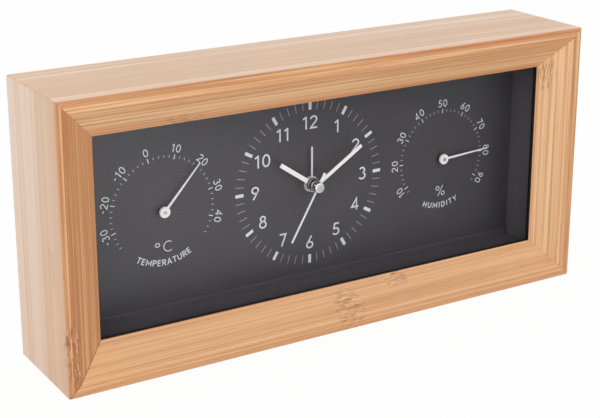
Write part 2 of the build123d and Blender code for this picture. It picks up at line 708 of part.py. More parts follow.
# Thermometer and hygrometer: housing, bush, spiral, staff and pointer
cup_far = DIAL_BACK + CUP_DEPTH
collar_near = DIAL_BACK + COLLAR_FROM
collar_far = collar_near + STRIP_W
half_pitch = STRIP_PITCH / 2
strip_start = COLLAR_R + FIT
anchor_from = strip_start + STRIP_HALF_TURNS * half_pitch + STRIP_T / 2


def spiral_face(start_r, half_turns):
    """Flat strip wound outwards as half circles of growing radius."""
    def line(extra):
        arcs = []
        for k in range(half_turns):
            middle = (half_pitch * (k % 2), 0)
            arcs.append(CenterArc(middle, start_r + k * half_pitch + extra, 180 * (k % 2), 180))
        return arcs

    inner = line(0)
    outer = line(STRIP_T)
    ends = [Line(inner[0] @ 0, outer[0] @ 0), Line(inner[-1] @ 1, outer[-1] @ 1)]
    return make_face(Curve() + inner + outer + ends)


bushes = []
lug_screws = [
    screw(DIAL_BACK + LUG_T, LUG_T + LUG_BITE - FIT, SMALL_SCREW_R, SMALL_HEAD_R, SMALL_HEAD_T, x, z)
    for x, z in LUG_POINTS
]
for name, side, angle in (("thermometer", -1, THERMO_ANGLE), ("hygrometer", 1, HYGRO_ANGLE)):
    x = side * INSTRUMENT_X
    cup = disc(CUP_R, DIAL_BACK, cup_far, x, DIAL_Z)
    for way in (-1, 1):
        cup += prism(Rectangle(LUG_W, LUG_L + CUP_WALL), DIAL_BACK, DIAL_BACK + LUG_T,
                     x, DIAL_Z + way * lug_out)
    cup -= disc(CUP_R - CUP_WALL, DIAL_BACK, cup_far - CUP_WALL, x, DIAL_Z)
    cup += slab(x - CUP_R + CUP_WALL / 2, x - anchor_from, DIAL_Z - ANCHOR_T, DIAL_Z,
                collar_near, cup_far - CUP_WALL)
    cup += disc(COLLAR_R, collar_far + AIR, cup_far, x, DIAL_Z)
    cup -= disc(STAFF_R + RUN, collar_far + AIR, cup_far - CUP_WALL / 2, x, DIAL_Z)
    for i in range(CUP_VENTS):
        vx, vz = offset_point((x, DIAL_Z), CUP_VENT_RING_R, 360 * i / CUP_VENTS)
        cup -= disc(CUP_VENT_R, cup_far - CUP_WALL, cup_far, vx, vz)
    for way in (-1, 1):
        cup -= disc(SMALL_SCREW_R + AIR, DIAL_BACK, DIAL_BACK + LUG_T, x, DIAL_Z + way * lug_out)
    save(f"{name}_housing", cup)
    bushes.append(ring(POINTER_BUSH_R, STAFF_R + RUN, DIAL_FRONT, DIAL_BACK, x, DIAL_Z))
    spiral = spiral_face(strip_start, STRIP_HALF_TURNS)
    save(f"{name}_spiral", prism(spiral, collar_near, collar_far, x, DIAL_Z))
    hub_near = DIAL_FRONT - POINTER_UP - POINTER_HUB_T
    staff = disc(STAFF_R, hub_near, cup_far - CUP_WALL, x, DIAL_Z)
    staff += disc(COLLAR_R, collar_near, collar_far, x, DIAL_Z)
    staff += disc(RIVET_R, hub_near - RIVET_T, hub_near, x, DIAL_Z)
    save(f"{name}_staff", staff)
    root = POINTER_ROOT_W / 2
    tip = POINTER_TIP_W / 2
    blade = turned(polygon([(-root, 0), (root, 0), (tip, POINTER_L), (-tip, POINTER_L)]), angle)
    bore = Circle(STAFF_R + FIT)
    blade_far = hub_near + HAND_T + AIR
    pointer = prism(Circle(POINTER_HUB_R) - bore, hub_near, hub_near + POINTER_HUB_T, x, DIAL_Z)
    pointer += prism(blade - bore, hub_near + AIR, blade_far, x, DIAL_Z)
    save(f"{name}_pointer", pointer)
save("pointer_bushes", *bushes)
save("instrument_screws", *lug_screws)
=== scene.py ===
"""Looks of a bamboo table clock with a dial thermometer and a dial hygrometer.

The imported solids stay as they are. This script gives each of them its finish, prints the dial,
adds the small moulded marks and trim, and sets up the floor, the lamps and the camera.
"""

from __future__ import annotations

import logging
import math
from dataclasses import dataclass, field
from enum import Enum
from typing import Any, Sequence

import bmesh
import bpy
from mathutils import Matrix, Vector

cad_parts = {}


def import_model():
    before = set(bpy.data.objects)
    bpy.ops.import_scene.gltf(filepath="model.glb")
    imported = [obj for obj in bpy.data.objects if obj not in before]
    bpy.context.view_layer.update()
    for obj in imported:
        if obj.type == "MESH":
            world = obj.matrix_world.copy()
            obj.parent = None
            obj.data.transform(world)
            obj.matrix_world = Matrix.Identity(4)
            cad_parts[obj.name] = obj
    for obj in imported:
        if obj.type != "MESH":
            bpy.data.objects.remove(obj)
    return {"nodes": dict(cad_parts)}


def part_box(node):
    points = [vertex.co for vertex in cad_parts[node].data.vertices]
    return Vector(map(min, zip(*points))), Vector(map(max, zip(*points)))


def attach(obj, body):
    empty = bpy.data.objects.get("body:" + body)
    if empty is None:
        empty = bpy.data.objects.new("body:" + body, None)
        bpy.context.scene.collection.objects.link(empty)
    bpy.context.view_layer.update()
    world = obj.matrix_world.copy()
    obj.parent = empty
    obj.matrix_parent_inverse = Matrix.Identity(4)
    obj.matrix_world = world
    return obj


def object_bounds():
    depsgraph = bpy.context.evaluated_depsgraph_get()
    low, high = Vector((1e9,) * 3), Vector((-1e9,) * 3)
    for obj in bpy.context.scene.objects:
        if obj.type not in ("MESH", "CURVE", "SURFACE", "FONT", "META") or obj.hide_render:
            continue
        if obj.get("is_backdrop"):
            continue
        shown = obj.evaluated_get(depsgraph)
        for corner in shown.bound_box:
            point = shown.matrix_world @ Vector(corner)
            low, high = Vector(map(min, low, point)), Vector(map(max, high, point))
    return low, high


MM = 0.001
LOG = logging.getLogger("bamboo_clock")
Point = tuple[float, float]
Colour = tuple[float, float, float, float]
Line = tuple[float, float, float]


def tint(red: int, green: int, blue: int) -> Colour:
    """Turn a colour read off a chart into shader values.

    Args:
        red: Red, 0 to 255.
        green: Green, 0 to 255.
        blue: Blue, 0 to 255.

    Returns:
        The colour in linear values, with full opacity.
    """
    def straight(value: float) -> float:
        """Undo the screen curve of one channel."""
        return value / 12.92 if value <= 0.04045 else ((value + 0.055) / 1.055) ** 2.4

    return (straight(red / 255), straight(green / 255), straight(blue / 255), 1.0)


class Grain(Enum):
    """Direction in which the fibres of a wooden member run."""

    ALONG_RAIL = "X"
    ALONG_STILE = "Z"


class Lay(Enum):
    """Direction of the fine tool marks on a metal piece."""

    TURNED = "turned"
    ROLLED_X = "rolled_x"
    ROLLED_Z = "rolled_z"


class Facing(Enum):
    """Side of the clock that a printed or moulded sheet looks at."""

    FRONT = -1
    BACK = 1


class ShaderBench:
    """Bench on which one procedural material is put together."""

    def __init__(self, name: str) -> None:
        """Start a material.

        Args:
            name: Name of the finish.
        """
        self.material = bpy.data.materials.new(name)
        self.material.use_nodes = True
        self.tree = self.material.node_tree
        self.shader = self.tree.nodes["Principled BSDF"]
        self._point: Any = None
        self._axes: Any = None

    @classmethod
    def on_tree(cls, tree: bpy.types.NodeTree) -> ShaderBench:
        """Open a bench on a node tree that is there already.

        Args:
            tree: Node tree to work on.

        Returns:
            The bench.
        """
        bench = cls.__new__(cls)
        bench.tree = tree
        bench._point = bench._axes = None
        return bench

    def add(self, kind: str, **settings: Any) -> Any:
        """Add a node.

        Args:
            kind: Node type without the ShaderNode prefix.
            settings: Properties of the node.

        Returns:
            The new node.
        """
        node = self.tree.nodes.new("ShaderNode" + kind)
        for key, value in settings.items():
            setattr(node, key, value)
        return node

    def feed(self, socket: Any, value: Any) -> None:
        """Give a socket a link or a constant.

        Args:
            socket: Input socket.
            value: Output socket, number or colour.
        """
        if isinstance(value, bpy.types.NodeSocket):
            self.tree.links.new(value, socket)
        else:
            socket.default_value = value

    def point(self) -> Any:
        """Return the place on the piece.

        Returns:
            The vector socket, in metres.
        """
        if self._point is None:
            self._point = self.add("TexCoord").outputs["Object"]
        return self._point

    def axis(self, letter: str) -> Any:
        """Return one coordinate of the place on the piece.

        Args:
            letter: X, Y or Z.

        Returns:
            The number socket, in metres.
        """
        if self._axes is None:
            self._axes = self.add("SeparateXYZ")
            self.feed(self._axes.inputs[0], self.point())
        return self._axes.outputs[letter]

    def away(self, x: float, z: float) -> Any:
        """Return the distance from an axis that runs from front to back.

        Args:
            x: Place of the axis across, in millimetres.
            z: Its height, in millimetres.

        Returns:
            The distance socket, in metres.
        """
        across = self.sum("SUBTRACT", self.axis("X"), x * MM)
        up = self.sum("SUBTRACT", self.axis("Z"), z * MM)
        return self.sum("SQRT", self.sum("MULTIPLY_ADD", across, across, self.sum("MULTIPLY", up, up)))

    def sum(self, operation: str, first: Any, second: Any = 0.0, third: Any = 0.0) -> Any:
        """Work out one number.

        Args:
            operation: Name of the Math operation.
            first: First value or socket.
            second: Second value or socket.
            third: Third value or socket.

        Returns:
            The output socket.
        """
        node = self.add("Math", operation=operation)
        for socket, value in zip(node.inputs, (first, second, third)):
            self.feed(socket, value)
        return node.outputs[0]

    def vector(self, x: Any, y: Any, z: Any = 0.0) -> Any:
        """Join three numbers or sockets into a vector.

        Args:
            x: First number or socket.
            y: Second number or socket.
            z: Third number or socket.

        Returns:
            The vector socket.
        """
        node = self.add("CombineXYZ")
        for socket, value in zip(node.inputs, (x, y, z)):
            self.feed(socket, value)
        return node.outputs[0]

    def noise(self, place: Any, scale: float, detail: float = 2.0, rough: float = 0.5) -> Any:
        """Return soft noise between 0 and 1.

        Args:
            place: Vector socket.
            scale: Grains per metre.
            detail: Octaves.
            rough: Weight of the finer octaves.

        Returns:
            The noise value socket.
        """
        node = self.add("TexNoise")
        self.feed(node.inputs["Vector"], place)
        node.inputs["Scale"].default_value = scale
        node.inputs["Detail"].default_value = detail
        node.inputs["Roughness"].default_value = rough
        return node.outputs["Fac"]

    def fade(self, value: Any, low: float, high: float, out_low: float = 0.0, out_high: float = 1.0) -> Any:
        """Return a value eased from one range into another.

        Args:
            value: Socket to map.
            low: Value that gives out_low.
            high: Value that gives out_high.
            out_low: Result at the low end.
            out_high: Result at the high end.

        Returns:
            The eased socket.
        """
        node = self.add("MapRange", interpolation_type="SMOOTHSTEP")
        for socket, item in zip(node.inputs, (value, low, high, out_low, out_high)):
            self.feed(socket, item)
        return node.outputs[0]

    def blend(self, share: Any, first: Any, second: Any, mode: str = "MIX") -> Any:
        """Return two colours mixed.

        Args:
            share: Share of the second colour.
            first: First colour or socket.
            second: Second colour or socket.
            mode: Blend mode.

        Returns:
            The colour socket.
        """
        node = self.add("Mix", data_type="RGBA", blend_type=mode)
        self.feed(node.inputs[0], share)
        self.feed(node.inputs[6], first)
        self.feed(node.inputs[7], second)
        return node.outputs[2]

    def ramp(self, value: Any, stops: Sequence[tuple[float, Colour]]) -> Any:
        """Return a colour picked along a ramp.

        Args:
            value: Place on the ramp.
            stops: Places and colours.

        Returns:
            The colour socket.
        """
        node = self.add("ValToRGB")
        band = node.color_ramp
        while len(band.elements) < len(stops):
            band.elements.new(1.0)
        for element, (place, colour) in zip(band.elements, stops):
            element.position = place
            element.color = colour
        self.feed(node.inputs[0], value)
        return node.outputs[0]

    def bump(self, height: Any, strength: float, depth: float) -> None:
        """Raise the surface by a height pattern.

        Args:
            height: Height socket, 0 to 1.
            strength: Share of the effect.
            depth: Real depth in metres.
        """
        node = self.add("Bump")
        node.inputs["Strength"].default_value = strength
        node.inputs["Distance"].default_value = depth
        self.feed(node.inputs["Height"], height)
        self.feed(self.shader.inputs["Normal"], node.outputs[0])

    def set(self, **values: Any) -> bpy.types.Material:
        """Set shader sockets by name, with spaces written as underscores.

        Args:
            values: Socket names with numbers, colours or sockets.

        Returns:
            The material.
        """
        for key, value in values.items():
            self.feed(self.shader.inputs[key.replace("_", " ")], value)
        return self.material


@dataclass(frozen=True)
class Knuckle:
    """Mark of a bamboo joint on the face of a member, in millimetres."""

    along: float
    across: float
    half_along: float
    half_across: float
    depth: float = -25.0
    half_depth: float = 12.0
    force: float = 1.0


@dataclass(frozen=True)
class BambooFinish:
    """Clear satin lacquer on laminated bamboo strips."""

    name: str
    grain: Grain
    slope: float
    seed: float
    case_w: float
    case_h: float
    half_d: float = 25.0
    tone: float = 0.0
    contrast: float = 0.9
    cast: float = 0.40
    skin_tone: float = 0.0
    skin_contrast: float = 1.0
    skin_front: float = 0.0
    # Painted shade: how much darker the outer faces get towards the floor.
    foot_dark: float = 0.0
    # Painted shade: share of orange laid on the bevel near the glass.
    rim: float = 0.0
    knuckles: tuple[Knuckle, ...] = ()
    strip: float = 2.4
    skin_strip: float = 7.5
    lip_from: float = 17.4
    face_lines: tuple[Line, ...] = ((3.0, 700.0, 0.34), (9.0, 1300.0, 0.28), (30.0, 3800.0, 0.14))
    skin_lines: tuple[Line, ...] = ((3.0, 330.0, 0.32), (10.0, 1000.0, 0.24))
    places: tuple[float, ...] = (0.25, 0.43, 0.57, 0.77)
    face: tuple[Colour, ...] = (
        tint(180, 117, 70), tint(208, 149, 101), tint(228, 176, 127), tint(241, 200, 155))
    # Paler colours of the outer top, bottom and side faces: painted sheen of the lacquer, laid into the
    # colour.
    skin: tuple[Colour, ...] = (
        tint(214, 174, 138), tint(220, 184, 153), tint(227, 197, 172), tint(234, 212, 195))
    orange: Colour = tint(212, 138, 84)
    fibre_dark: Colour = tint(158, 97, 54)
    joint_dark: Colour = tint(134, 79, 42)
    joint_pale: Colour = tint(238, 204, 164)
    mitre_dark: Colour = tint(96, 58, 32)
    lip_black: Colour = tint(20, 17, 16)

    def material(self) -> bpy.types.Material:
        """Mix the bamboo finish.

        Returns:
            The material.
        """
        bench = ShaderBench(self.name)
        along = bench.axis(self.grain.value)
        side = bench.axis("Z" if self.grain is Grain.ALONG_RAIL else "X")
        across = bench.sum("MULTIPLY_ADD", side, self.slope, bench.axis("Y"))
        across = bench.sum("ADD", across, self.seed)
        from_side = bench.sum("SUBTRACT", self.case_w / 2, bench.sum("ABSOLUTE", bench.axis("X")))
        from_mid = bench.sum("ABSOLUTE", bench.sum("SUBTRACT", bench.axis("Z"), self.case_h / 2))
        from_end = bench.sum("SUBTRACT", self.case_h / 2, from_mid)
        inward = from_end if self.grain is Grain.ALONG_RAIL else from_side
        tone, fibre, seam, shifted = self._streaks(bench, along, across, self.strip, self.face_lines)
        skin_tone = self._streaks(bench, along, across, self.skin_strip, self.skin_lines)[0]
        middle = 0.5 - 0.5 * self.skin_contrast + self.skin_tone
        dark, deep = self.foot_dark, self.half_d * MM
        # Painted shade: the pale outer faces darken towards the floor, and their tone shifts from front to
        # back.
        foot = bench.fade(bench.axis("Z"), 0.0, self.case_h, middle - dark, middle + dark)
        front = bench.fade(bench.axis("Y"), -deep, deep, -self.skin_front, self.skin_front)
        skin_tone = bench.sum("MULTIPLY_ADD", skin_tone, self.skin_contrast, bench.sum("ADD", foot, front))
        outside, lip = self._sides(bench, inward)
        tone = bench.sum("MULTIPLY_ADD", tone, self.contrast, 0.5 - 0.5 * self.contrast + self.tone)
        # The outer faces take the pale palette, which is painted sheen; the front faces take the plain
        # bamboo palette.
        colour = bench.blend(
            outside, bench.ramp(tone, tuple(zip(self.places, self.face))),
            bench.ramp(skin_tone, tuple(zip(self.places, self.skin))))
        inside = bench.sum("SUBTRACT", 1.0, bench.sum("MULTIPLY", outside, 0.75))
        cast = bench.noise(self._stretch(bench, shifted, across, 4.0, 300.0), 1.0, 2.0)
        fleck = bench.noise(self._stretch(bench, shifted, across, 95.0, 3600.0), 1.0, 2.0, 0.6)
        for pattern, start, end, share, dye in (
            (cast, 0.50, 0.72, self.cast, self.orange),
            # painted shade: orange on the bevel near the glass, where it is shaded
            (inward, 12.5 * MM, 17.5 * MM, self.rim, self.orange),
            (seam, 0.06, 0.0, 0.28, self.fibre_dark),
            (fleck, 0.60, 0.72, 0.34, self.fibre_dark),
        ):
            shown = bench.sum("MULTIPLY", bench.fade(pattern, start, end, 0.0, share), inside)
            colour = bench.blend(shown, colour, dye)
        for spot in self.knuckles:
            colour = self._joint(bench, spot, colour, along, side, across)
        mitre = bench.sum("MULTIPLY", self._mitre(bench, from_side, from_end), inside)
        colour = bench.blend(mitre, colour, self.mitre_dark)
        colour = bench.blend(lip, colour, self.lip_black)
        bench.bump(bench.sum("MULTIPLY_ADD", seam, 0.15, fibre), 0.10, 0.12 * MM)
        return bench.set(
            Base_Color=colour,
            Roughness=bench.fade(fibre, 0.3, 0.7, 0.34, 0.46),
            IOR=1.5,
            Specular_IOR_Level=0.5,
        )

    def _streaks(self, bench: ShaderBench, along: Any, across: Any, wide: float,
                 lines: tuple[Line, ...]) -> tuple[Any, Any, Any, Any]:
        """Lay out strips and the fibres in them.

        Args:
            bench: Bench in use.
            along: Coordinate along the fibres.
            across: Coordinate across the strips.
            wide: Width of a strip in millimetres.
            lines: Fibres: grains per metre along and across, and their share of the tone.

        Returns:
            The tone, the finest fibres, the distance from a glue line, and the coordinate along the
            strips, each strip moved on by its own amount.
        """
        strip, seam = self._strips(bench, across, wide)
        shifted = bench.sum("MULTIPLY_ADD", strip, 3.1, along)
        tone = bench.sum("MULTIPLY", strip, 1.0 - sum(part for _, _, part in lines))
        fibre: Any = None
        for slow, quick, part in lines:
            fibre = bench.noise(self._stretch(bench, shifted, across, slow, quick), 1.0, 3.0, 0.6)
            tone = bench.sum("MULTIPLY_ADD", bench.fade(fibre, 0.3, 0.7), part, tone)
        return tone, fibre, seam, shifted

    def _stretch(self, bench: ShaderBench, along: Any, across: Any, slow: float, quick: float) -> Any:
        """Return a place stretched along the fibres.

        Args:
            bench: Bench in use.
            along: Coordinate along the fibres.
            across: Coordinate across them.
            slow: Grains per metre along.
            quick: Grains per metre across.

        Returns:
            The vector socket.
        """
        return bench.vector(
            bench.sum("MULTIPLY", along, slow), bench.sum("MULTIPLY", across, quick), self.seed * 90)

    def _strips(self, bench: ShaderBench, across: Any, wide: float) -> tuple[Any, Any]:
        """Divide the wood into glued strips.

        Args:
            bench: Bench in use.
            across: Coordinate across the strips.
            wide: Width of a strip in millimetres.

        Returns:
            A number for each strip, and the distance from its glue line.
        """
        outputs = []
        for feature in ("F1", "DISTANCE_TO_EDGE"):
            cells = bench.add("TexVoronoi", voronoi_dimensions="1D", feature=feature)
            bench.feed(cells.inputs["W"], across)
            cells.inputs["Scale"].default_value = 1 / (wide * MM)
            cells.inputs["Randomness"].default_value = 0.75
            outputs.append(cells.outputs["Color" if feature == "F1" else "Distance"])
        split = bench.add("SeparateColor")
        bench.feed(split.inputs[0], outputs[0])
        return split.outputs[0], outputs[1]

    def _joint(self, bench: ShaderBench, spot: Knuckle, colour: Any, along: Any, side: Any,
               across: Any) -> Any:
        """Draw one bamboo joint over the colour.

        Args:
            bench: Bench in use.
            spot: Place and size of the joint.
            colour: Colour so far.
            along: Coordinate along the fibres.
            side: Coordinate across the front face.
            across: Coordinate across the strips.

        Returns:
            The colour with the joint.
        """
        far = 0.0
        for value, middle, half in (
            (along, spot.along, spot.half_along),
            (side, spot.across, spot.half_across),
            (bench.axis("Y"), spot.depth, spot.half_depth),
        ):
            off = bench.sum("MULTIPLY_ADD", value, 1 / (half * MM), -middle / half)
            far = bench.sum("MULTIPLY_ADD", off, off, far)
        ragged = bench.noise(self._stretch(bench, along, across, 160.0, 1500.0), 1.0, 3.0, 0.7)
        far = bench.sum("MULTIPLY_ADD", ragged, 0.9, far)
        mask = bench.fade(far, 0.85, 1.65, spot.force, 0.0)
        veins = bench.noise(self._stretch(bench, along, across, 230.0, 2100.0), 1.0, 3.0, 0.75)
        colour = bench.blend(bench.sum("MULTIPLY", mask, bench.fade(veins, 0.50, 0.60, 0.0, 0.75)),
                             colour, self.joint_dark)
        pale = bench.sum("MULTIPLY", mask, bench.fade(veins, 0.44, 0.36, 0.0, 0.75))
        return bench.blend(pale, colour, self.joint_pale)

    def _sides(self, bench: ShaderBench, inward: Any) -> tuple[Any, Any]:
        """Find the outside of the case and the lip around the glass.

        Args:
            bench: Bench in use.
            inward: Distance from the outside of the case.

        Returns:
            How far the outer faces take the paler colours, which are painted sheen, and how far the
            blackened lip does.
        """
        turned = bench.add("SeparateXYZ")
        bench.feed(turned.inputs[0], bench.add("TexCoord").outputs["Normal"])
        flat = bench.sum("ABSOLUTE", turned.outputs["Z" if self.grain is Grain.ALONG_RAIL else "X"])
        near = bench.fade(inward, 2.0 * MM, 4.0 * MM, 1.0, 0.0)
        deep = bench.fade(inward, self.lip_from * MM, (self.lip_from + 0.3) * MM)
        return (bench.sum("MULTIPLY", bench.fade(flat, 0.45, 0.98), near),
                bench.sum("MULTIPLY", bench.fade(flat, 0.88, 0.96), deep))

    def _mitre(self, bench: ShaderBench, from_side: Any, from_end: Any) -> Any:
        """Find the glue line of the nearest mitre, darkest at the lower left corner.

        Args:
            bench: Bench in use.
            from_side: Distance from the left or right end of the case.
            from_end: Distance from its top or bottom.

        Returns:
            How dark the line is.
        """
        off = bench.sum("ABSOLUTE", bench.sum("SUBTRACT", from_side, from_end))
        low = bench.fade(bench.axis("Z"), self.case_h / 2, 0.1 * self.case_h)
        left = bench.fade(bench.axis("X"), 0.1 * self.case_w, -0.3 * self.case_w, 0.10, 1.0)
        force = bench.sum("MULTIPLY_ADD", bench.sum("MULTIPLY", low, left), 0.70, 0.08)
        return bench.sum("MULTIPLY", bench.fade(off, 0.10 * MM, 0.34 * MM, 1.0, 0.0), force)


@dataclass(frozen=True)
class SheetGlass:
    """Clear float glass that mirrors a little of the room."""

    name: str = "clear_glass"
    mirror: float = 0.006
    clean: Colour = tint(246, 240, 254)
    wiped: Colour = tint(250, 245, 255)

    def material(self) -> bpy.types.Material:
        """Mix the glass finish.

        Returns:
            The material.
        """
        bench = ShaderBench(self.name)
        wipe = bench.noise(bench.point(), 26.0, 3.0, 0.6)
        return bench.set(
            Base_Color=bench.ramp(wipe, ((0.3, self.clean), (0.7, self.wiped))),
            Roughness=bench.fade(wipe, 0.35, 0.75, 0.0, 0.006),
            Metallic=1.0,
            Alpha=self.mirror,
        )


@dataclass(frozen=True)
class Moulding:
    """Moulded or sprayed surface with a fine grain."""

    name: str
    dark: Colour
    light: Colour
    grain: float = 2200.0
    matt: tuple[float, float] = (0.45, 0.6)
    raised: float = 0.15
    depth: float = 0.05
    gloss: float = 0.5

    def material(self) -> bpy.types.Material:
        """Mix the moulded finish.

        Returns:
            The material.
        """
        bench = ShaderBench(self.name)
        fine = bench.noise(bench.point(), self.grain, 3.0, 0.6)
        broad = bench.noise(bench.point(), self.grain / 24, 2.0)
        mix = bench.sum("MULTIPLY_ADD", broad, 0.55, bench.sum("MULTIPLY", fine, 0.45))
        bench.bump(fine, self.raised, self.depth * MM)
        return bench.set(
            Base_Color=bench.ramp(mix, ((0.35, self.dark), (0.65, self.light))),
            Roughness=bench.fade(mix, 0.3, 0.7, *self.matt),
            Specular_IOR_Level=self.gloss,
        )


@dataclass(frozen=True)
class Metal:
    """Bare or plated metal with the marks of its making."""

    name: str
    dark: Colour
    light: Colour
    lay: Lay = Lay.TURNED
    matt: tuple[float, float] = (0.18, 0.34)
    axis_x: float = 0.0
    axis_z: float = 59.5
    turned: Point = (5200.0, 900.0)
    rolled: Point = (120.0, 4200.0)

    def material(self) -> bpy.types.Material:
        """Mix the metal finish.

        Returns:
            The material.
        """
        bench = ShaderBench(self.name)
        if self.lay is Lay.TURNED:
            out = bench.away(self.axis_x, self.axis_z)
            place = bench.vector(bench.sum("MULTIPLY", out, self.turned[0]),
                                 bench.sum("MULTIPLY", bench.axis("Y"), self.turned[1]))
        else:
            wide, tall = self.rolled if self.lay is Lay.ROLLED_X else self.rolled[::-1]
            place = bench.vector(bench.sum("MULTIPLY", bench.axis("X"), wide),
                                 bench.sum("MULTIPLY", bench.axis("Z"), tall), bench.axis("Y"))
        marks = bench.noise(place, 1.0, 2.0, 0.6)
        stain = bench.noise(bench.point(), 320.0, 2.0)
        mix = bench.sum("MULTIPLY_ADD", marks, 0.5, bench.sum("MULTIPLY", stain, 0.5))
        bench.bump(marks, 0.05, 0.02 * MM)
        return bench.set(
            Base_Color=bench.ramp(mix, ((0.32, self.dark), (0.68, self.light))),
            Metallic=1.0,
            Roughness=bench.fade(mix, 0.3, 0.7, *self.matt),
        )


@dataclass(frozen=True)
class HandFinish:
    """White paint on a hand, with the bare bright collet at its root."""

    name: str
    collet_r: float
    white: Colour = tint(252, 252, 252)
    soft: Colour = tint(241, 241, 242)
    bright: Colour = tint(205, 205, 202)
    # Painted shade in the turned grooves of the collet.
    groove: Colour = tint(70, 70, 70)
    groove_step: float = 0.9
    axis_x: float = 0.0
    axis_z: float = 59.5

    def material(self) -> bpy.types.Material:
        """Mix the hand finish.

        Returns:
            The material.
        """
        bench = ShaderBench(self.name)
        out = bench.away(self.axis_x, self.axis_z)
        bare = bench.fade(out, (self.collet_r - 0.02) * MM, (self.collet_r + 0.02) * MM, 1.0, 0.0)
        mist = bench.noise(bench.point(), 1500.0, 3.0)
        # The dark rings are painted shade in the turned grooves.
        wave = bench.sum("SINE", bench.sum("MULTIPLY", out, 2 * math.pi / (self.groove_step * MM)))
        turned = bench.ramp(bench.fade(wave, -0.8, 0.9), ((0.0, self.groove), (1.0, self.bright)))
        paint = bench.ramp(mist, ((0.3, self.soft), (0.7, self.white)))
        bench.bump(mist, 0.05, 0.02 * MM)
        return bench.set(
            Base_Color=bench.blend(bare, paint, turned),
            Metallic=bare,
            Roughness=bench.fade(bench.sum("MULTIPLY_ADD", bare, -0.5, mist), -0.2, 0.6, 0.2, 0.45),
        )


@dataclass(frozen=True)
class PrintInk:
    """Screen-printed ink, a little uneven."""

    name: str
    thin: Colour
    full: Colour

    def material(self) -> bpy.types.Material:
        """Mix the ink.

        Returns:
            The material.
        """
        bench = ShaderBench(self.name)
        cover = bench.noise(bench.point(), 2600.0, 3.0, 0.6)
        bench.bump(cover, 0.05, 0.01 * MM)
        return bench.set(
            Base_Color=bench.ramp(cover, ((0.3, self.thin), (0.62, self.full))),
            Roughness=bench.fade(cover, 0.3, 0.7, 0.5, 0.65),
            Specular_IOR_Level=0.3,
        )


@dataclass(frozen=True)
class Banded:
    """Finish whose colour changes in bands along one axis, as on a cell's sleeve."""

    name: str
    letter: str
    edges: tuple[tuple[float, Colour], ...]
    scuffed: Colour = tint(190, 190, 186)
    matt: tuple[float, float] = (0.25, 0.4)

    def material(self) -> bpy.types.Material:
        """Mix the banded finish.

        Returns:
            The material.
        """
        bench = ShaderBench(self.name)
        scuff = bench.noise(bench.point(), 900.0, 3.0)
        colour: Any = self.edges[0][1]
        for edge, shade in self.edges[1:]:
            past = bench.fade(bench.axis(self.letter), (edge - 0.05) * MM, (edge + 0.05) * MM)
            colour = bench.blend(past, colour, shade)
        worn = bench.fade(scuff, 0.45, 0.75, 0.0, 0.25)
        colour = bench.blend(worn, colour, self.scuffed, "OVERLAY")
        bench.bump(scuff, 0.04, 0.02 * MM)
        return bench.set(
            Base_Color=colour,
            Roughness=bench.fade(scuff, 0.3, 0.7, *self.matt),
        )


@dataclass(frozen=True)
class Winding:
    """Enamelled copper wire wound on a bobbin."""

    name: str = "copper_winding"
    wire: float = 0.18
    dark: Colour = tint(120, 52, 22)
    light: Colour = tint(206, 120, 68)

    def material(self) -> bpy.types.Material:
        """Mix the wound wire.

        Returns:
            The material.
        """
        bench = ShaderBench(self.name)
        turn = bench.sum("MULTIPLY", bench.axis("Z"), 2 * math.pi / (self.wire * MM))
        # Painted shade and highlight: darker between the turns of wire, paler on their crowns.
        wave = bench.sum("MULTIPLY_ADD", bench.sum("SINE", turn), 0.5, 0.5)
        bench.bump(wave, 0.5, 0.06 * MM)
        return bench.set(
            Base_Color=bench.ramp(wave, ((0.1, self.dark), (0.8, self.light))),
            Metallic=0.8,
            Roughness=bench.fade(wave, 0.0, 1.0, 0.5, 0.3),
        )


@dataclass(frozen=True)
class CircuitMask:
    """Green solder mask over copper tracks."""

    name: str = "circuit_mask"
    green: Colour = tint(24, 82, 48)
    track: Colour = tint(46, 120, 66)
    tinned: Colour = tint(196, 196, 190)

    def material(self) -> bpy.types.Material:
        """Mix the board finish.

        Returns:
            The material.
        """
        bench = ShaderBench(self.name)
        cells = bench.add("TexVoronoi", feature="F1", distance="MANHATTAN")
        bench.feed(cells.inputs["Vector"], bench.point())
        cells.inputs["Scale"].default_value = 420.0
        far = cells.outputs["Distance"]
        track = bench.fade(bench.sum("SINE", bench.sum("MULTIPLY", far, 16.0)), 0.1, 0.3)
        colour = bench.blend(track, self.green, self.track)
        colour = bench.blend(bench.fade(far, 0.12, 0.08), colour, self.tinned)
        bench.bump(track, 0.2, 0.03 * MM)
        return bench.set(Base_Color=colour, Roughness=bench.fade(track, 0.0, 1.0, 0.42, 0.3))


@dataclass(frozen=True)
class PlainWood:
    """Sawn softwood of the inner blocks."""

    name: str = "sawn_block"
    early: Colour = tint(214, 180, 132)
    late: Colour = tint(176, 128, 80)
    across: float = 420.0
    along: float = 30.0

    def material(self) -> bpy.types.Material:
        """Mix the sawn wood.

        Returns:
            The material.
        """
        bench = ShaderBench(self.name)
        place = bench.vector(bench.sum("MULTIPLY", bench.axis("X"), self.across),
                             bench.sum("MULTIPLY", bench.axis("Y"), self.along),
                             bench.sum("MULTIPLY", bench.axis("Z"), self.across))
        rings = bench.noise(place, 1.0, 4.0, 0.6)
        bench.bump(rings, 0.3, 0.1 * MM)
        return bench.set(
            Base_Color=bench.ramp(rings, ((0.35, self.late), (0.6, self.early))),
            Roughness=bench.fade(rings, 0.3, 0.7, 0.7, 0.85),
        )


@dataclass(frozen=True)
class Glyph:
    """One sign drawn with strokes in a box of height 1."""

    width: float
    strokes: tuple[tuple[Point, ...], ...]


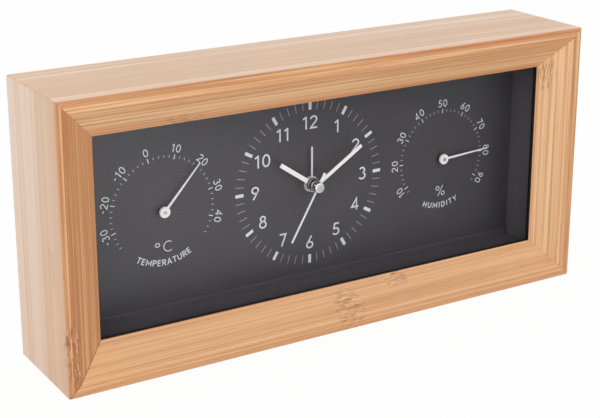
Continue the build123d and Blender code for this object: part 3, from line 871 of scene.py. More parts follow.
def bow(x: float, y: float, rx: float, ry: float, start: float, end: float) -> tuple[Point, ...]:
    """Walk along part of an ellipse.

    Args:
        x: Centre across.
        y: Centre up.
        rx: Half width.
        ry: Half height.
        start: First angle in degrees, counted from the right, turning left.
        end: Last angle.

    Returns:
        Points along the curve.
    """
    steps = max(6, int(abs(end - start) / 9))
    angles = [math.radians(start + (end - start) * i / steps) for i in range(steps + 1)]
    return tuple((x + rx * math.cos(a), y + ry * math.sin(a)) for a in angles)


def _drawn_signs() -> dict[str, Glyph]:
    """Draw the digits, letters and signs that the dial and the back need.

    Returns:
        The signs by name.
    """
    # The lowest and the highest strokes, and the half ring of two letters.
    h, t = 0.06, 0.94
    bowl = ((0.08, 0.0), (0.08, t)) + bow(0.26, 0.71, 0.22, 0.23, 90, -90) + ((0.08, 0.48),)
    return {
        "0": Glyph(0.58, (bow(0.29, 0.5, 0.23, 0.44, 90, 450),)),
        "1": Glyph(0.36, (((0.04, 0.78), (0.24, 0.93)), ((0.26, 1.0), (0.26, 0.0)))),
        "2": Glyph(0.55, (bow(0.27, 0.71, 0.22, 0.23, 172, -28) + ((0.05, h), (0.53, h)),)),
        "3": Glyph(0.53, (bow(0.25, 0.74, 0.19, 0.20, 152, -90), bow(0.25, 0.30, 0.23, 0.24, 90, -152))),
        "4": Glyph(0.60, (((0.42, 0.0), (0.42, 0.94), (0.05, 0.26), (0.58, 0.26)),)),
        "5": Glyph(0.53, (((0.49, t), (0.17, t), (0.11, 0.56)) + bow(0.25, 0.31, 0.23, 0.25, 118, -150),)),
        "6": Glyph(0.56, (((0.42, 1.0), (0.10, 0.42)), bow(0.28, 0.29, 0.22, 0.23, 90, 450))),
        "7": Glyph(0.50, (((0.02, t), (0.46, t), (0.15, 0.0)),)),
        "8": Glyph(0.54, (bow(0.27, 0.755, 0.17, 0.185, 90, 450), bow(0.27, 0.30, 0.22, 0.24, 90, 450))),
        "9": Glyph(0.56, (((0.14, 0.0), (0.46, 0.58)), bow(0.28, 0.71, 0.22, 0.23, 90, 450))),
        "-": Glyph(0.34, (((0.04, 0.46), (0.30, 0.46)),)),
        "o": Glyph(0.44, (bow(0.20, 0.74, 0.16, 0.16, 90, 450),)),
        "%": Glyph(0.92, (bow(0.20, 0.77, 0.15, 0.18, 90, 450), bow(0.72, 0.23, 0.15, 0.18, 90, 450),
                          ((0.68, 1.0), (0.24, 0.0)))),
        "A": Glyph(0.66, (((0.04, 0.0), (0.33, 0.97), (0.62, 0.0)), ((0.14, 0.32), (0.52, 0.32)))),
        "C": Glyph(0.72, (bow(0.42, 0.5, 0.36, 0.44, 48, 312),)),
        "D": Glyph(0.66, (((0.08, h), (0.08, t)) + bow(0.22, 0.5, 0.37, 0.44, 90, -90) + ((0.08, h),),)),
        "E": Glyph(0.50, (((0.46, t), (0.08, t), (0.08, h), (0.46, h)), ((0.08, 0.51), (0.42, 0.51)))),
        "F": Glyph(0.48, (((0.44, t), (0.08, t), (0.08, 0.0)), ((0.08, 0.51), (0.40, 0.51)))),
        "H": Glyph(0.64, (((0.08, 0.0), (0.08, 1.0)), ((0.56, 0.0), (0.56, 1.0)),
                          ((0.08, 0.52), (0.56, 0.52)))),
        "I": Glyph(0.16, (((0.08, 0.0), (0.08, 1.0)),)),
        "M": Glyph(0.80, (((0.08, 0.0), (0.08, 0.94), (0.40, 0.30), (0.72, 0.94), (0.72, 0.0)),)),
        "N": Glyph(0.66, (((0.08, 0.0), (0.08, 0.92), (0.58, 0.08), (0.58, 1.0)),)),
        "O": Glyph(0.78, (bow(0.39, 0.5, 0.33, 0.44, 90, 450),)),
        "P": Glyph(0.54, (bowl,)),
        "R": Glyph(0.56, (bowl, ((0.26, 0.48), (0.52, 0.0)))),
        "T": Glyph(0.56, (((0.02, t), (0.54, t)), ((0.28, t), (0.28, 0.0)))),
        "U": Glyph(0.62, (((0.08, 1.0), (0.08, 0.30)) + bow(0.31, 0.30, 0.23, 0.24, 180, 360)
                          + ((0.54, 1.0),),)),
        "Y": Glyph(0.60, (((0.02, 1.0), (0.30, 0.50), (0.58, 1.0)), ((0.30, 0.50), (0.30, 0.0)))),
        "+": Glyph(0.60, (((0.06, 0.5), (0.54, 0.5)), ((0.30, 0.26), (0.30, 0.74)))),
    }


SIGNS = _drawn_signs()


@dataclass
class PrintSheet:
    """Flat layer on which bars, signs and words are laid, in millimetres.

    The sheet lies across Y. Its own coordinates are X to the reader's right and Z up.
    """

    name: str
    plane_y: float
    facing: Facing = Facing.FRONT
    proud: float = 0.0
    grid: bmesh.types.BMesh = field(default_factory=bmesh.new)

    def _lift(self, point: Point) -> Any:
        """Put a flat point on the sheet as a vertex."""
        x = point[0] if self.facing is Facing.FRONT else -point[0]
        return self.grid.verts.new((x * MM, self.plane_y, point[1] * MM))

    def ribbon(self, points: Sequence[Point], width: float) -> None:
        """Lay a stroke of even width.

        Args:
            points: Middle line; equal ends close it.
            width: Stroke width.
        """
        line = [Vector(p) for p in points]
        closed = (line[0] - line[-1]).length < 1e-6
        if closed:
            line.pop()
        count = len(line)
        rails = []
        for i, here in enumerate(line):
            before = line[i - 1] if closed or i else here
            after = line[(i + 1) % count] if closed or i < count - 1 else here
            one = (here - before).normalized() if before != here else (after - here).normalized()
            two = (after - here).normalized() if after != here else one
            normal = Vector((-one.y - two.y, one.x + two.x))
            normal = normal.normalized() if normal.length > 1e-6 else Vector((-one.y, one.x))
            reach = width / 2 / max(0.45, normal.dot(Vector((-one.y, one.x))))
            rails.append((self._lift(here + normal * reach), self._lift(here - normal * reach)))
        for i in range(count if closed else count - 1):
            first, second = rails[i], rails[(i + 1) % count]
            self.grid.faces.new((first[0], first[1], second[1], second[0]))

    def spoke(self, centre: Point, angle: float, inner: float, outer: float, width: float) -> None:
        """Lay a bar that points away from a centre.

        Args:
            centre: Centre of the scale.
            angle: Degrees clockwise from the top.
            inner: Distance of the near end.
            outer: Distance of the far end.
            width: Width of the bar.
        """
        way = Vector((math.sin(math.radians(angle)), math.cos(math.radians(angle))))
        middle = Vector(centre)
        self.ribbon((tuple(middle + way * inner), tuple(middle + way * outer)), width)

    def sign(self, glyph: Glyph, corner: Vector, right: Vector, up: Vector, height: float,
             weight: float) -> None:
        """Draw one sign.

        Args:
            glyph: Sign to draw.
            corner: Lower left corner of its box.
            right: Unit vector to the reader's right.
            up: Unit vector up.
            height: Height of the sign.
            weight: Stroke width.
        """
        for stroke in glyph.strokes:
            line = [tuple(corner + right * (x * height) + up * (y * height)) for x, y in stroke]
            self.ribbon(line, weight)

    def word(self, text: str, centre: Point, height: float, weight: float, turn: float = 0.0,
             gap: float = 0.18, stretch: float = 1.0) -> None:
        """Write a straight word around a centre.

        Args:
            text: Signs to write.
            centre: Middle of the word.
            height: Height of the signs.
            weight: Stroke width.
            turn: Degrees clockwise that the word is turned.
            gap: Space between signs, in heights.
            stretch: Factor on the widths.
        """
        angle = math.radians(turn)
        right = Vector((math.cos(angle), -math.sin(angle))) * stretch
        up = Vector((math.sin(angle), math.cos(angle)))
        span = sum(SIGNS[c].width for c in text) + gap * (len(text) - 1)
        corner = Vector(centre) - right * (span * height / 2) - up * (height / 2)
        for letter in text:
            self.sign(SIGNS[letter], corner, right, up, height, weight)
            corner = corner + right * ((SIGNS[letter].width + gap) * height)

    def smile(self, text: str, centre: Point, radius: float, height: float, weight: float, gap: float = 0.2,
              stretch: float = 1.0) -> None:
        """Write a word along the lower part of a circle.

        Args:
            text: Letters to write.
            centre: Centre of the circle.
            radius: Radius of the line on which the letters stand.
            height: Height of the letters.
            weight: Stroke width.
            gap: Space between letters, in heights.
            stretch: Factor on the widths.
        """
        span = (sum(SIGNS[c].width for c in text) * stretch + gap * (len(text) - 1)) * height
        walked = -span / 2
        for letter in text:
            wide = SIGNS[letter].width * height * stretch
            angle = math.pi - (walked + wide / 2) / radius
            out = Vector((math.sin(angle), math.cos(angle)))
            right = Vector((-math.cos(angle), math.sin(angle)))
            foot = Vector(centre) + out * radius - right * (wide / 2)
            self.sign(SIGNS[letter], foot, right * stretch, -out, height, weight)
            walked += wide + gap * height

    def piece(self, finish: bpy.types.Material, body: str, slot: str) -> bpy.types.Object:
        """Turn the sheet into a piece that rides on a body.

        Args:
            finish: Material of the piece.
            body: Body that carries it.
            slot: Material slot of the record; not used.

        Returns:
            The new object.
        """
        if self.proud:
            grown = bmesh.ops.extrude_face_region(self.grid, geom=list(self.grid.faces))
            raised = [v for v in grown["geom"] if isinstance(v, bmesh.types.BMVert)]
            bmesh.ops.translate(self.grid, verts=raised, vec=(0, self.facing.value * self.proud * MM, 0))
        bmesh.ops.recalc_face_normals(self.grid, faces=list(self.grid.faces))
        if not self.proud:
            turned = [f for f in self.grid.faces if f.normal.y * self.facing.value < 0]
            bmesh.ops.reverse_faces(self.grid, faces=turned)
        return add_piece(self.name, self.grid, finish, body)


def add_piece(name: str, grid: bmesh.types.BMesh, finish: bpy.types.Material, body: str) -> bpy.types.Object:
    """Turn a worked mesh into a piece that rides on a body.

    Args:
        name: Name of the piece.
        grid: Worked mesh, which is used up.
        finish: Material of the piece.
        body: Body that carries it.

    Returns:
        The new object.
    """
    mesh = bpy.data.meshes.new(name)
    grid.to_mesh(mesh)
    grid.free()
    mesh.materials.append(finish)
    piece = bpy.data.objects.new(name, mesh)
    bpy.context.scene.collection.objects.link(piece)
    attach(piece, body)
    LOG.info("piece %s rides on %s", name, body)
    return piece


@dataclass
class SubAssembly:
    """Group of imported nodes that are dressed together."""

    nodes: dict[str, bpy.types.Object]

    def dress(self, finish: bpy.types.Material, *names: str) -> None:
        """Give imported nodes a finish.

        Args:
            finish: Material to put on.
            names: Nodes that take it.
        """
        for name in names:
            mesh = self.nodes[name].data
            mesh.materials.clear()
            mesh.materials.append(finish)
            for face in mesh.polygons:
                face.material_index = 0
            LOG.info("node %s wears %s", name, finish.name)

    def wear(self, *outfits: tuple[Any, ...]) -> None:
        """Mix finishes and put each of them on its nodes.

        Args:
            outfits: For each finish, the finish and the nodes that take it.
        """
        for finish, *names in outfits:
            self.dress(finish.material(), *names)


@dataclass
class BambooCase(SubAssembly):
    """Four mitred bamboo members."""

    case_w: float = 0.255
    case_h: float = 0.120

    def build(self) -> None:
        """Dress the rails and stiles, each with its own grain."""
        size = {"case_w": self.case_w, "case_h": self.case_h}
        rail, stile = Grain.ALONG_RAIL, Grain.ALONG_STILE
        finishes = {
            # Painted light and shade: the members' tone offsets make the right stile and the top rail paler
            # and the left stile darker than the same bamboo.
            "top_rail": BambooFinish(
                "bamboo_top", rail, -0.8, 0.31, **size, tone=0.04, skin_tone=-0.08, rim=0.45,
                knuckles=(Knuckle(-72.0, 103.5, 11.0, 2.6, -17.0, 9.0, 0.8),)),
            "bottom_rail": BambooFinish(
                "bamboo_bottom", rail, 0.8, 0.64, **size, tone=0.03, contrast=0.45, cast=0.12, strip=1.6,
                knuckles=(Knuckle(4.5, 8.5, 8.0, 9.0, -22.0, 14.0, 1.0),
                          Knuckle(32.0, 15.5, 6.5, 3.6, -18.0, 10.0, 0.9))),
            "left_stile": BambooFinish(
                "bamboo_left", stile, 0.8, 0.12, **size, tone=-0.065, contrast=0.7, skin_contrast=0.5,
                skin_front=0.15, foot_dark=0.05, rim=0.2, strip=1.5,
                knuckles=(Knuckle(19.0, -124.6, 15.0, 4.2, -25.0, 6.0, 1.0),
                          Knuckle(52.0, -127.5, 11.0, 2.5, -14.0, 3.5, 0.45))),
            "right_stile": BambooFinish(
                "bamboo_right", stile, -0.8, 0.53, **size, tone=0.11,
                knuckles=(Knuckle(99.0, 113.0, 8.5, 4.0, -19.0, 10.0, 0.9),)),
        }
        self.wear(*((finish, node) for node, finish in finishes.items()))


@dataclass
class ShadowBox(SubAssembly):
    """Glass, its black edge, the walls behind it and the dial, with a ledge at the dial's foot."""

    ledge_h: float = 2.7
    ledge_t: float = 1.0
    ledge_round: float = 0.5

    def build(self) -> None:
        """Dress the glass and the box, and lay the ledge."""
        card = {"grain": 1500.0, "matt": (0.5, 0.6), "raised": 0.03, "depth": 0.02, "gloss": 0.3}
        self.wear(
            (SheetGlass(), "front_glass"),
            (Moulding("black_edge_strip", tint(16, 14, 14), tint(26, 23, 22), 1800.0, (0.5, 0.65),
                      gloss=0.25), "glass_seal"),
            (Moulding("black_wall_card", tint(68, 66, 71), tint(77, 75, 80), **card),
             "surround_top", "surround_bottom", "surround_left"),
            # Painted light: the right wall takes a paler copy of the same card, for the light that falls on
            # it.
            (Moulding("black_wall_card_lit", tint(82, 80, 85), tint(91, 89, 94), **card), "surround_right"),
            (Moulding("dial_lacquer", tint(55, 53, 59), tint(61, 59, 65), 1200.0, (0.46, 0.52), 0.02,
                      0.01, gloss=0.65), "dial_panel"),
        )
        self._ledge()

    def _ledge(self) -> None:
        """Lay a rounded ledge along the foot of the dial."""
        end_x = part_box("surround_right")[0].x
        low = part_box("surround_bottom")[1].z
        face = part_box("dial_panel")[0].y
        high, thick, curve = (v * MM for v in (self.ledge_h, self.ledge_t, self.ledge_round))
        profile = [(0.0, 0.0), (thick, 0.0)]
        for i in range(5):
            angle = math.radians(90 * i / 4)
            profile.append((thick - curve * (1 - math.cos(angle)), high - curve * (1 - math.sin(angle))))
        profile.append((0.0, high))
        grid = bmesh.new()
        rings = [[grid.verts.new((x, face - out, low + up)) for out, up in profile]
                 for x in (-end_x, end_x)]
        for k in range(len(profile)):
            grid.faces.new((rings[0][k - 1], rings[0][k], rings[1][k], rings[1][k - 1]))
        for ring in rings:
            grid.faces.new(ring)
        bmesh.ops.recalc_face_normals(grid, faces=list(grid.faces))
        card = Moulding("ledge_card", tint(68, 66, 71), tint(72, 70, 75), 1600.0, (0.5, 0.55), 0.02, 0.01,
                        gloss=0.2)
        add_piece("dial_ledge", grid, card.material(), "case")


@dataclass(frozen=True)
class RoundScale:
    """What one instrument scale shows: radii in millimetres, angles clockwise from the top."""

    name: str
    x: float
    tick_r: float
    zero_angle: float
    values: range
    unit: str
    word: str
    word_gap: float


@dataclass
class DialPrint(SubAssembly):
    """White printing on the dial: clock ring, thermometer scale and hygrometer scale."""

    centre_z: float = 59.5
    instrument_x: float = 71.4
    lift: float = 0.04
    ring_in: float = 33.2
    ring_out: float = 37.2
    hour_bar: float = 1.45
    minute_bar: float = 0.29
    numeral_r: float = 27.5
    numeral_h: float = 5.8
    numeral_w: float = 0.76
    numeral_stretch: float = 1.2
    short_tick: float = 1.25
    long_tick: float = 2.1
    tick_step_in: float = 0.3
    numeral_out: float = 2.6
    scale_numeral_h: float = 3.4
    scale_numeral_w: float = 0.42
    unit_drop: float = 15.8
    unit_h: float = 5.0
    unit_w: float = 0.38
    word_r: float = 24.0
    word_h: float = 2.6
    word_stretch: float = 1.3
    word_w: float = 0.46
    short_tick_w: float = 0.36
    long_tick_w: float = 0.40
    scale_stretch: float = 1.15
    unit_stretch: float = 1.2
    degrees_each: float = 3.0

    def build(self) -> None:
        """Print the three scales."""
        bright = PrintInk("white_ink", tint(208, 212, 220), tint(230, 233, 240)).material()
        dim = PrintInk("grey_ink", tint(146, 147, 153), tint(174, 175, 181)).material()
        self._clock(bright, dim)
        for scale in (
            RoundScale("thermometer", -self.instrument_x, 24.2, -15.0, range(-36, 47, 2), "oC",
                       "TEMPERATURE", 0.22),
            RoundScale("hygrometer", self.instrument_x, 23.5, -150.0, range(8, 93, 2), "%",
                       "HUMIDITY", 0.36),
        ):
            self._scale(scale, bright, dim)

    def _sheet(self, name: str) -> PrintSheet:
        """Start a print layer just in front of the dial."""
        return PrintSheet(name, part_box("dial_panel")[0].y - self.lift * MM)

    def _clock(self, bright: bpy.types.Material, dim: bpy.types.Material) -> None:
        """Print the hour bars, the minute bars and the numerals.

        Args:
            bright: Ink of the hours.
            dim: Ink of the minutes.
        """
        middle = (0.0, self.centre_z)
        hours = self._sheet("clock_hours_print")
        minutes = self._sheet("clock_minutes_print")
        for minute in range(60):
            if minute % 5:
                minutes.spoke(middle, 6.0 * minute, self.ring_in, self.ring_out, self.minute_bar)
            else:
                hours.spoke(middle, 6.0 * minute, self.ring_in, self.ring_out, self.hour_bar)
        for hour in range(1, 13):
            angle = math.radians(30 * hour)
            place = (self.numeral_r * math.sin(angle), self.centre_z + self.numeral_r * math.cos(angle))
            hours.word(str(hour), place, self.numeral_h, self.numeral_w, stretch=self.numeral_stretch)
        hours.piece(bright, "case", "hand_white")
        minutes.piece(dim, "case", "hand_silver")

    def _scale(self, scale: RoundScale, bright: bpy.types.Material, dim: bpy.types.Material) -> None:
        """Print one instrument scale.

        Args:
            scale: What the scale shows and where.
            bright: Ink of numbers and words.
            dim: Ink of the short ticks.
        """
        middle = (scale.x, self.centre_z)
        marks = self._sheet(f"{scale.name}_marks_print")
        ticks = self._sheet(f"{scale.name}_ticks_print")
        for value in scale.values:
            angle = scale.zero_angle + self.degrees_each * value
            if value % 10:
                outer = scale.tick_r - self.tick_step_in
                ticks.spoke(middle, angle, outer - self.short_tick, outer, self.short_tick_w)
                continue
            marks.spoke(middle, angle, scale.tick_r - self.long_tick, scale.tick_r, self.long_tick_w)
            reach = scale.tick_r + self.numeral_out
            place = (scale.x + reach * math.sin(math.radians(angle)),
                     self.centre_z + reach * math.cos(math.radians(angle)))
            marks.word(str(value), place, self.scale_numeral_h, self.scale_numeral_w, angle,
                       stretch=self.scale_stretch)
        marks.word(scale.unit, (scale.x, self.centre_z - self.unit_drop), self.unit_h, self.unit_w,
                   stretch=self.unit_stretch)
        marks.smile(scale.word, middle, self.word_r, self.word_h, self.word_w, scale.word_gap,
                    self.word_stretch)
        marks.piece(bright, "case", "hand_white")
        ticks.piece(dim, "case", "hand_silver")


@dataclass
class HandSet(SubAssembly):
    """Clock hands with their bright collets, ring and cap."""

    def build(self) -> None:
        """Dress the hands and the bright pieces at their root."""
        for hand, collet_r in (("hour_hand", 4.0), ("minute_hand", 2.1), ("seconds_hand", 2.5)):
            self.wear((HandFinish(f"{hand}_paint", collet_r), hand))
        self.wear(
            (Moulding("silver_paint", tint(214, 214, 213), tint(234, 234, 232), 1700.0, (0.3, 0.42), 0.05,
                      0.02), "alarm_hand"),
            (Metal("bright_chrome", tint(206, 206, 206), tint(236, 236, 236), Lay.TURNED, (0.08, 0.18)),
             "seconds_cap", "centre_ring"),
        )


@dataclass
class Instruments(SubAssembly):
    """Thermometer and hygrometer behind the dial, with their pointers."""

    axis_x: float = 71.4

    def build(self) -> None:
        """Dress the pointers, staffs, spirals and housings."""
        for name, side in (("thermometer", -1), ("hygrometer", 1)):
            self.wear(
                (Moulding(f"{name}_pointer_paint", tint(234, 234, 234), tint(250, 250, 248), 1700.0,
                          (0.35, 0.5), 0.05, 0.02), f"{name}_pointer"),
                (Metal(f"{name}_staff_nickel", tint(176, 174, 168), tint(208, 206, 200), Lay.TURNED,
                       (0.25, 0.4), axis_x=side * self.axis_x), f"{name}_staff"),
            )
        self.wear(
            (Moulding("housing_white", tint(214, 213, 208), tint(228, 227, 222), 1900.0, (0.45, 0.6)),
             "thermometer_housing", "hygrometer_housing"),
            (Metal("bimetal_strip", tint(150, 128, 96), tint(196, 178, 146), Lay.ROLLED_X, (0.3, 0.45)),
             "thermometer_spiral"),
            (Metal("coated_strip", tint(176, 168, 150), tint(206, 200, 186), Lay.ROLLED_Z, (0.4, 0.6)),
             "hygrometer_spiral"),
            (Metal("bush_dark", tint(58, 57, 58), tint(84, 83, 84), Lay.ROLLED_X, (0.4, 0.55)),
             "pointer_bushes"),
        )


@dataclass
class BackSide(SubAssembly):
    """Back board, movement housing, knobs and switch, with the moulded marks."""

    axis_z: float = 59.5
    time_knob: Point = (14.928, 4.0)
    alarm_knob: Point = (-9.659, 2.588)
    arrow_r: float = 7.4
    arrow_span: Point = (50.0, 130.0)
    barb: float = 1.3
    barb_half: float = 0.9
    barb_tip: float = 0.2
    barb_w: float = 0.4
    mark_proud: float = 0.18
    mark_w: float = 0.5
    screw_head: float = 0.8
    word_h: float = 2.0
    word_w: float = 0.32
    pole_x: float = 20.0
    pole_up: float = 0.75
    pole_h: float = 1.3
    pole_w: float = 0.26

    def build(self) -> None:
        """Dress the back and add its marks."""
        self.wear(
            (Moulding("pressed_board", tint(26, 24, 23), tint(44, 41, 39), 900.0, (0.6, 0.8), 0.35, 0.12),
             "back_panel"),
            (Moulding("movement_plastic", tint(24, 24, 25), tint(36, 36, 37), 1700.0, (0.42, 0.58), 0.25,
                      0.06), "movement_case", "movement_cover"),
            (Moulding("knob_plastic", tint(20, 20, 21), tint(32, 32, 33), 1400.0, (0.28, 0.42), 0.1, 0.03),
             "time_set_knob", "alarm_set_knob"),
            (Moulding("switch_plastic", tint(150, 26, 20), tint(172, 36, 28), 1400.0, (0.3, 0.45), 0.1,
                      0.03), "alarm_switch"),
            (Metal("screw_steel", tint(150, 150, 150), tint(196, 196, 194), Lay.ROLLED_X, (0.28, 0.45)),
             "back_panel_screws", "movement_screws", "instrument_screws"),
            (PlainWood(), "corner_blocks"),
        )
        self._marks()

    def _marks(self) -> None:
        """Mould the turning arrows, the switch words and the battery signs."""
        paint = Moulding("mark_grey", tint(150, 150, 150), tint(172, 172, 172), 1500.0, (0.5, 0.65), 0.1,
                         0.02).material()
        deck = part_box("movement_screws")[1].y - self.screw_head * MM
        sheet = PrintSheet("movement_marks", deck, Facing.BACK, self.mark_proud)
        for x, z in (self.time_knob, self.alarm_knob):
            self._arrow(sheet, (-x, self.axis_z + z))
        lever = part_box("alarm_switch")
        middle = -(lever[0].x + lever[1].x) / 2 / MM
        height = (lever[0].z + lever[1].z) / 2 / MM
        for word, off in (("OFF", 8.4), ("ON", -12.6)):
            sheet.word(word, (middle + off, height), self.word_h, self.word_w)
        sheet.piece(paint, "case", "movement_black")
        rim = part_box("movement_cover")[1].y
        signs = PrintSheet("battery_marks", rim, Facing.BACK, self.mark_proud / 2)
        frame_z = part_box("movement_cover")[0].z / MM
        for sign, x in (("+", -self.pole_x), ("-", self.pole_x)):
            signs.word(sign, (x, frame_z + self.pole_up), self.pole_h, self.pole_w)
        signs.piece(paint, "case", "movement_black")

    def _arrow(self, sheet: PrintSheet, centre: Point) -> None:
        """Mould a curved double arrow over a knob.

        Args:
            sheet: Layer for the mark.
            centre: Middle of the knob as the reader sees it.
        """
        x, z = centre
        sheet.ribbon(bow(x, z, self.arrow_r, self.arrow_r, *self.arrow_span), self.mark_w)
        for angle, way in zip(self.arrow_span, (-1, 1)):
            a = math.radians(angle)
            tip = Vector((x + self.arrow_r * math.cos(a), z + self.arrow_r * math.sin(a)))
            along = Vector((-math.sin(a), math.cos(a))) * way
            out = Vector((math.cos(a), math.sin(a)))
            ends = [tip - along * self.barb + out * spread for spread in (self.barb_half, -self.barb_half)]
            sheet.ribbon((tuple(ends[0]), tuple(tip + along * self.barb_tip), tuple(ends[1])), self.barb_w)


@dataclass
class Movement(SubAssembly):
    """Quartz movement inside its case, with the cell."""

    wheels: tuple[str, ...] = (
        "intermediate_wheel", "seconds_wheel", "third_wheel", "centre_wheel", "hour_wheel", "motion_wheel",
        "alarm_wheel", "time_set_pinion", "alarm_set_pinion")

    def build(self) -> None:
        """Dress the wheels, the motor, the board and the cell."""
        low, high = (corner.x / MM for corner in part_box("battery"))
        self.wear(
            (Moulding("wheel_plastic", tint(206, 200, 182), tint(222, 217, 200), 1600.0, (0.3, 0.45), 0.08,
                      0.02), *self.wheels),
            (Metal("arbor_nickel", tint(176, 175, 170), tint(210, 209, 204), Lay.TURNED, (0.2, 0.35)),
             "minute_arbor"),
            (Moulding("rotor_ferrite", tint(40, 40, 42), tint(58, 58, 60), 2400.0, (0.4, 0.55)), "rotor"),
            (Metal("stator_iron", tint(120, 120, 124), tint(158, 158, 162), Lay.ROLLED_X, (0.35, 0.5)),
             "stator"),
            (Winding(), "drive_coil"),
            (CircuitMask(), "circuit_board"),
            (Metal("crystal_can", tint(176, 176, 178), tint(214, 214, 216), Lay.ROLLED_Z, (0.15, 0.3)),
             "quartz_crystal"),
            (Moulding("buzzer_plastic", tint(30, 30, 31), tint(42, 42, 43), 1500.0, (0.5, 0.65)), "buzzer"),
            (Metal("nickel_contact", tint(182, 180, 172), tint(216, 214, 206), Lay.ROLLED_Z, (0.18, 0.32)),
             "battery_contact_plus", "battery_contact_minus"),
            (Banded("cell_sleeve", "X", (
                (low, tint(196, 196, 192)), (low + 1.2, tint(30, 74, 60)),
                (high - 17.0, tint(206, 206, 200)), (high - 15.6, tint(44, 104, 84)),
                (high - 2.2, tint(200, 200, 196)))), "battery"),
        )


@dataclass(frozen=True)
class SoftLamp:
    """Square studio lamp."""

    name: str
    place: tuple[float, float, float]
    aim: tuple[float, float, float]
    size: float
    power: float

    def build(self) -> None:
        """Hang the lamp and point it."""
        lamp = bpy.data.lights.new(self.name, "AREA")
        lamp.shape = "SQUARE"
        lamp.size = self.size
        lamp.energy = self.power
        thing = bpy.data.objects.new(self.name, lamp)
        thing.location = self.place
        thing.rotation_euler = (Vector(self.aim) - Vector(self.place)).to_track_quat("-Z", "Y").to_euler()
        bpy.context.scene.collection.objects.link(thing)


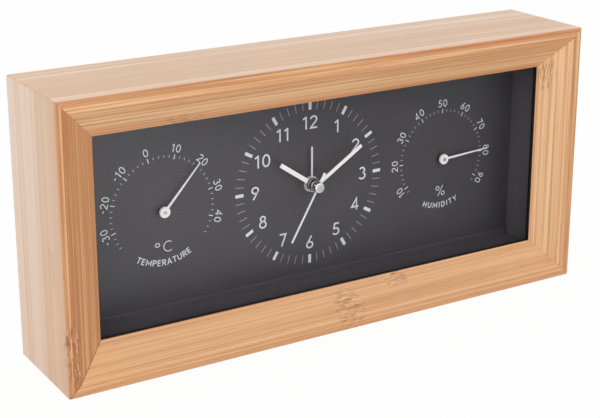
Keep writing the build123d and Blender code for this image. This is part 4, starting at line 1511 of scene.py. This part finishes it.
@dataclass
class Studio:
    """Pale floor, white surroundings, soft lamps and the camera."""

    azimuth: float = -31.493
    elevation: float = 17.081
    roll: float = 0.030
    distance: float = 0.6150
    target: tuple[float, float, float] = (-0.00717, 0.0, 0.07253)
    focal_px: float = 1430.80
    image_w: int = 600
    centre_drop: float = 50.0
    floor_half: float = 4.0
    room_light: float = 0.80
    shadow_share: float = 0.05
    # Painted shade and light on the floor as mirrored: dimmer to the right, brighter far in front.
    dim_from_to: tuple[float, float] = (0.0, 0.20)
    dim_level: float = 0.2
    far_from_to: tuple[float, float] = (-0.12, -0.40)
    far_level: float = 2.0

    def build(self) -> None:
        """Set up the whole studio."""
        bpy.context.scene.view_settings.view_transform = "Standard"
        self._surroundings()
        self._floor()
        for lamp in (
            SoftLamp("key_lamp", (-0.9, -0.9, 1.1), (0.0, 0.0, 0.06), 0.9, 5.6),
            SoftLamp("fill_lamp", (0.6, -1.5, 0.7), (0.0, 0.0, 0.06), 1.0, 2.6),
        ):
            lamp.build()
        self._camera()

    def _surroundings(self) -> None:
        """Make the room white to the eye and to gloss, and softer as a light."""
        world = bpy.data.worlds.new("white_room")
        bpy.context.scene.world = world
        world.use_nodes = True
        bench = ShaderBench.on_tree(world.node_tree)
        back = world.node_tree.nodes["Background"]
        back.inputs["Color"].default_value = (1.0, 1.0, 1.0, 1.0)
        bench.feed(back.inputs["Strength"], bench.fade(self._seen(bench), 0.0, 1.0, self.room_light, 1.0))

    def _seen(self, bench: ShaderBench) -> Any:
        """Find the rays from the eye, a mirror or clear glass.

        Args:
            bench: Bench in use.

        Returns:
            A socket that is 1 for those rays.
        """
        path = bench.add("LightPath").outputs
        mirrored = bench.sum("MAXIMUM", path["Is Glossy Ray"], path["Is Transmission Ray"])
        return bench.sum("MAXIMUM", path["Is Camera Ray"], mirrored)

    def _floor(self) -> None:
        """Lay the pale floor, white to the eye apart from the clock's shadow."""
        grid = bmesh.new()
        bmesh.ops.create_grid(grid, x_segments=8, y_segments=8, size=self.floor_half)
        mesh = bpy.data.meshes.new("studio_floor")
        grid.to_mesh(mesh)
        grid.free()
        floor = bpy.data.objects.new("studio_floor", mesh)
        bpy.context.scene.collection.objects.link(floor)
        mesh.materials.append(self._paper())
        floor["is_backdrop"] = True

    def _paper(self) -> bpy.types.Material:
        """Mix the floor's paper: white to the eye with a little shadow; to gloss rays it glows with painted
        shade to the right and painted light far in front.

        Returns:
            The material.
        """
        bench = ShaderBench("pale_paper")
        bench.set(Base_Color=tint(244, 244, 244), Roughness=0.9, Specular_IOR_Level=0.0)
        gloss = bench.add("LightPath").outputs["Is Glossy Ray"]
        # Painted shade and light seen only in reflections: the paper glows dimmer to the right and brighter
        # far in front.
        dim = bench.fade(bench.axis("X"), *self.dim_from_to, 1.0, self.dim_level)
        far = bench.fade(bench.axis("Y"), *self.far_from_to, 1.0, self.far_level)
        dim = bench.sum("MULTIPLY", dim, far)
        glow = bench.add("Emission")
        bench.feed(glow.inputs["Strength"], bench.fade(gloss, 0.0, 1.0, 1.0, dim))
        mix = bench.add("MixShader")
        bench.feed(mix.inputs[0], bench.sum("MULTIPLY", self._seen(bench), 1.0 - self.shadow_share))
        bench.feed(mix.inputs[1], bench.shader.outputs[0])
        bench.feed(mix.inputs[2], glow.outputs[0])
        bench.feed(bench.tree.nodes["Material Output"].inputs["Surface"], mix.outputs[0])
        return bench.material

    def _camera(self) -> None:
        """Stand the camera where the photograph was taken from."""
        a, e, r = (math.radians(v) for v in (self.azimuth, self.elevation, self.roll))
        back = Vector((math.sin(a) * math.cos(e), -math.cos(a) * math.cos(e), math.sin(e)))
        level = Vector((0, 0, 1)).cross(back).normalized()
        rise = back.cross(level)
        right = level * math.cos(r) + rise * math.sin(r)
        up = rise * math.cos(r) - level * math.sin(r)
        lens = bpy.data.cameras.new("studio_camera")
        lens.sensor_width = 36.0
        lens.lens = self.focal_px * lens.sensor_width / self.image_w
        lens.shift_y = -self.centre_drop / self.image_w
        lens.clip_start = 0.01
        lens.clip_end = 50.0
        camera = bpy.data.objects.new("studio_camera", lens)
        turn = Matrix((right, up, back)).transposed().to_4x4()
        camera.matrix_world = Matrix.Translation(Vector(self.target) + back * self.distance) @ turn
        bpy.context.scene.collection.objects.link(camera)
        bpy.context.scene.camera = camera


def main() -> None:
    """Build the clock's looks in order."""
    logging.basicConfig(level=logging.INFO, format="%(name)s: %(message)s")
    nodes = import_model()["nodes"]
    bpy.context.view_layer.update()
    low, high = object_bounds()
    for group in (
        BambooCase(nodes, case_w=high.x - low.x, case_h=high.z),
        ShadowBox(nodes),
        DialPrint(nodes),
        HandSet(nodes),
        Instruments(nodes),
        BackSide(nodes),
        Movement(nodes),
    ):
        group.build()
    Studio().build()
    LOG.info("case stands %.1f mm high", (high.z - low.z) / MM)


if __name__ == "__main__":
    main()
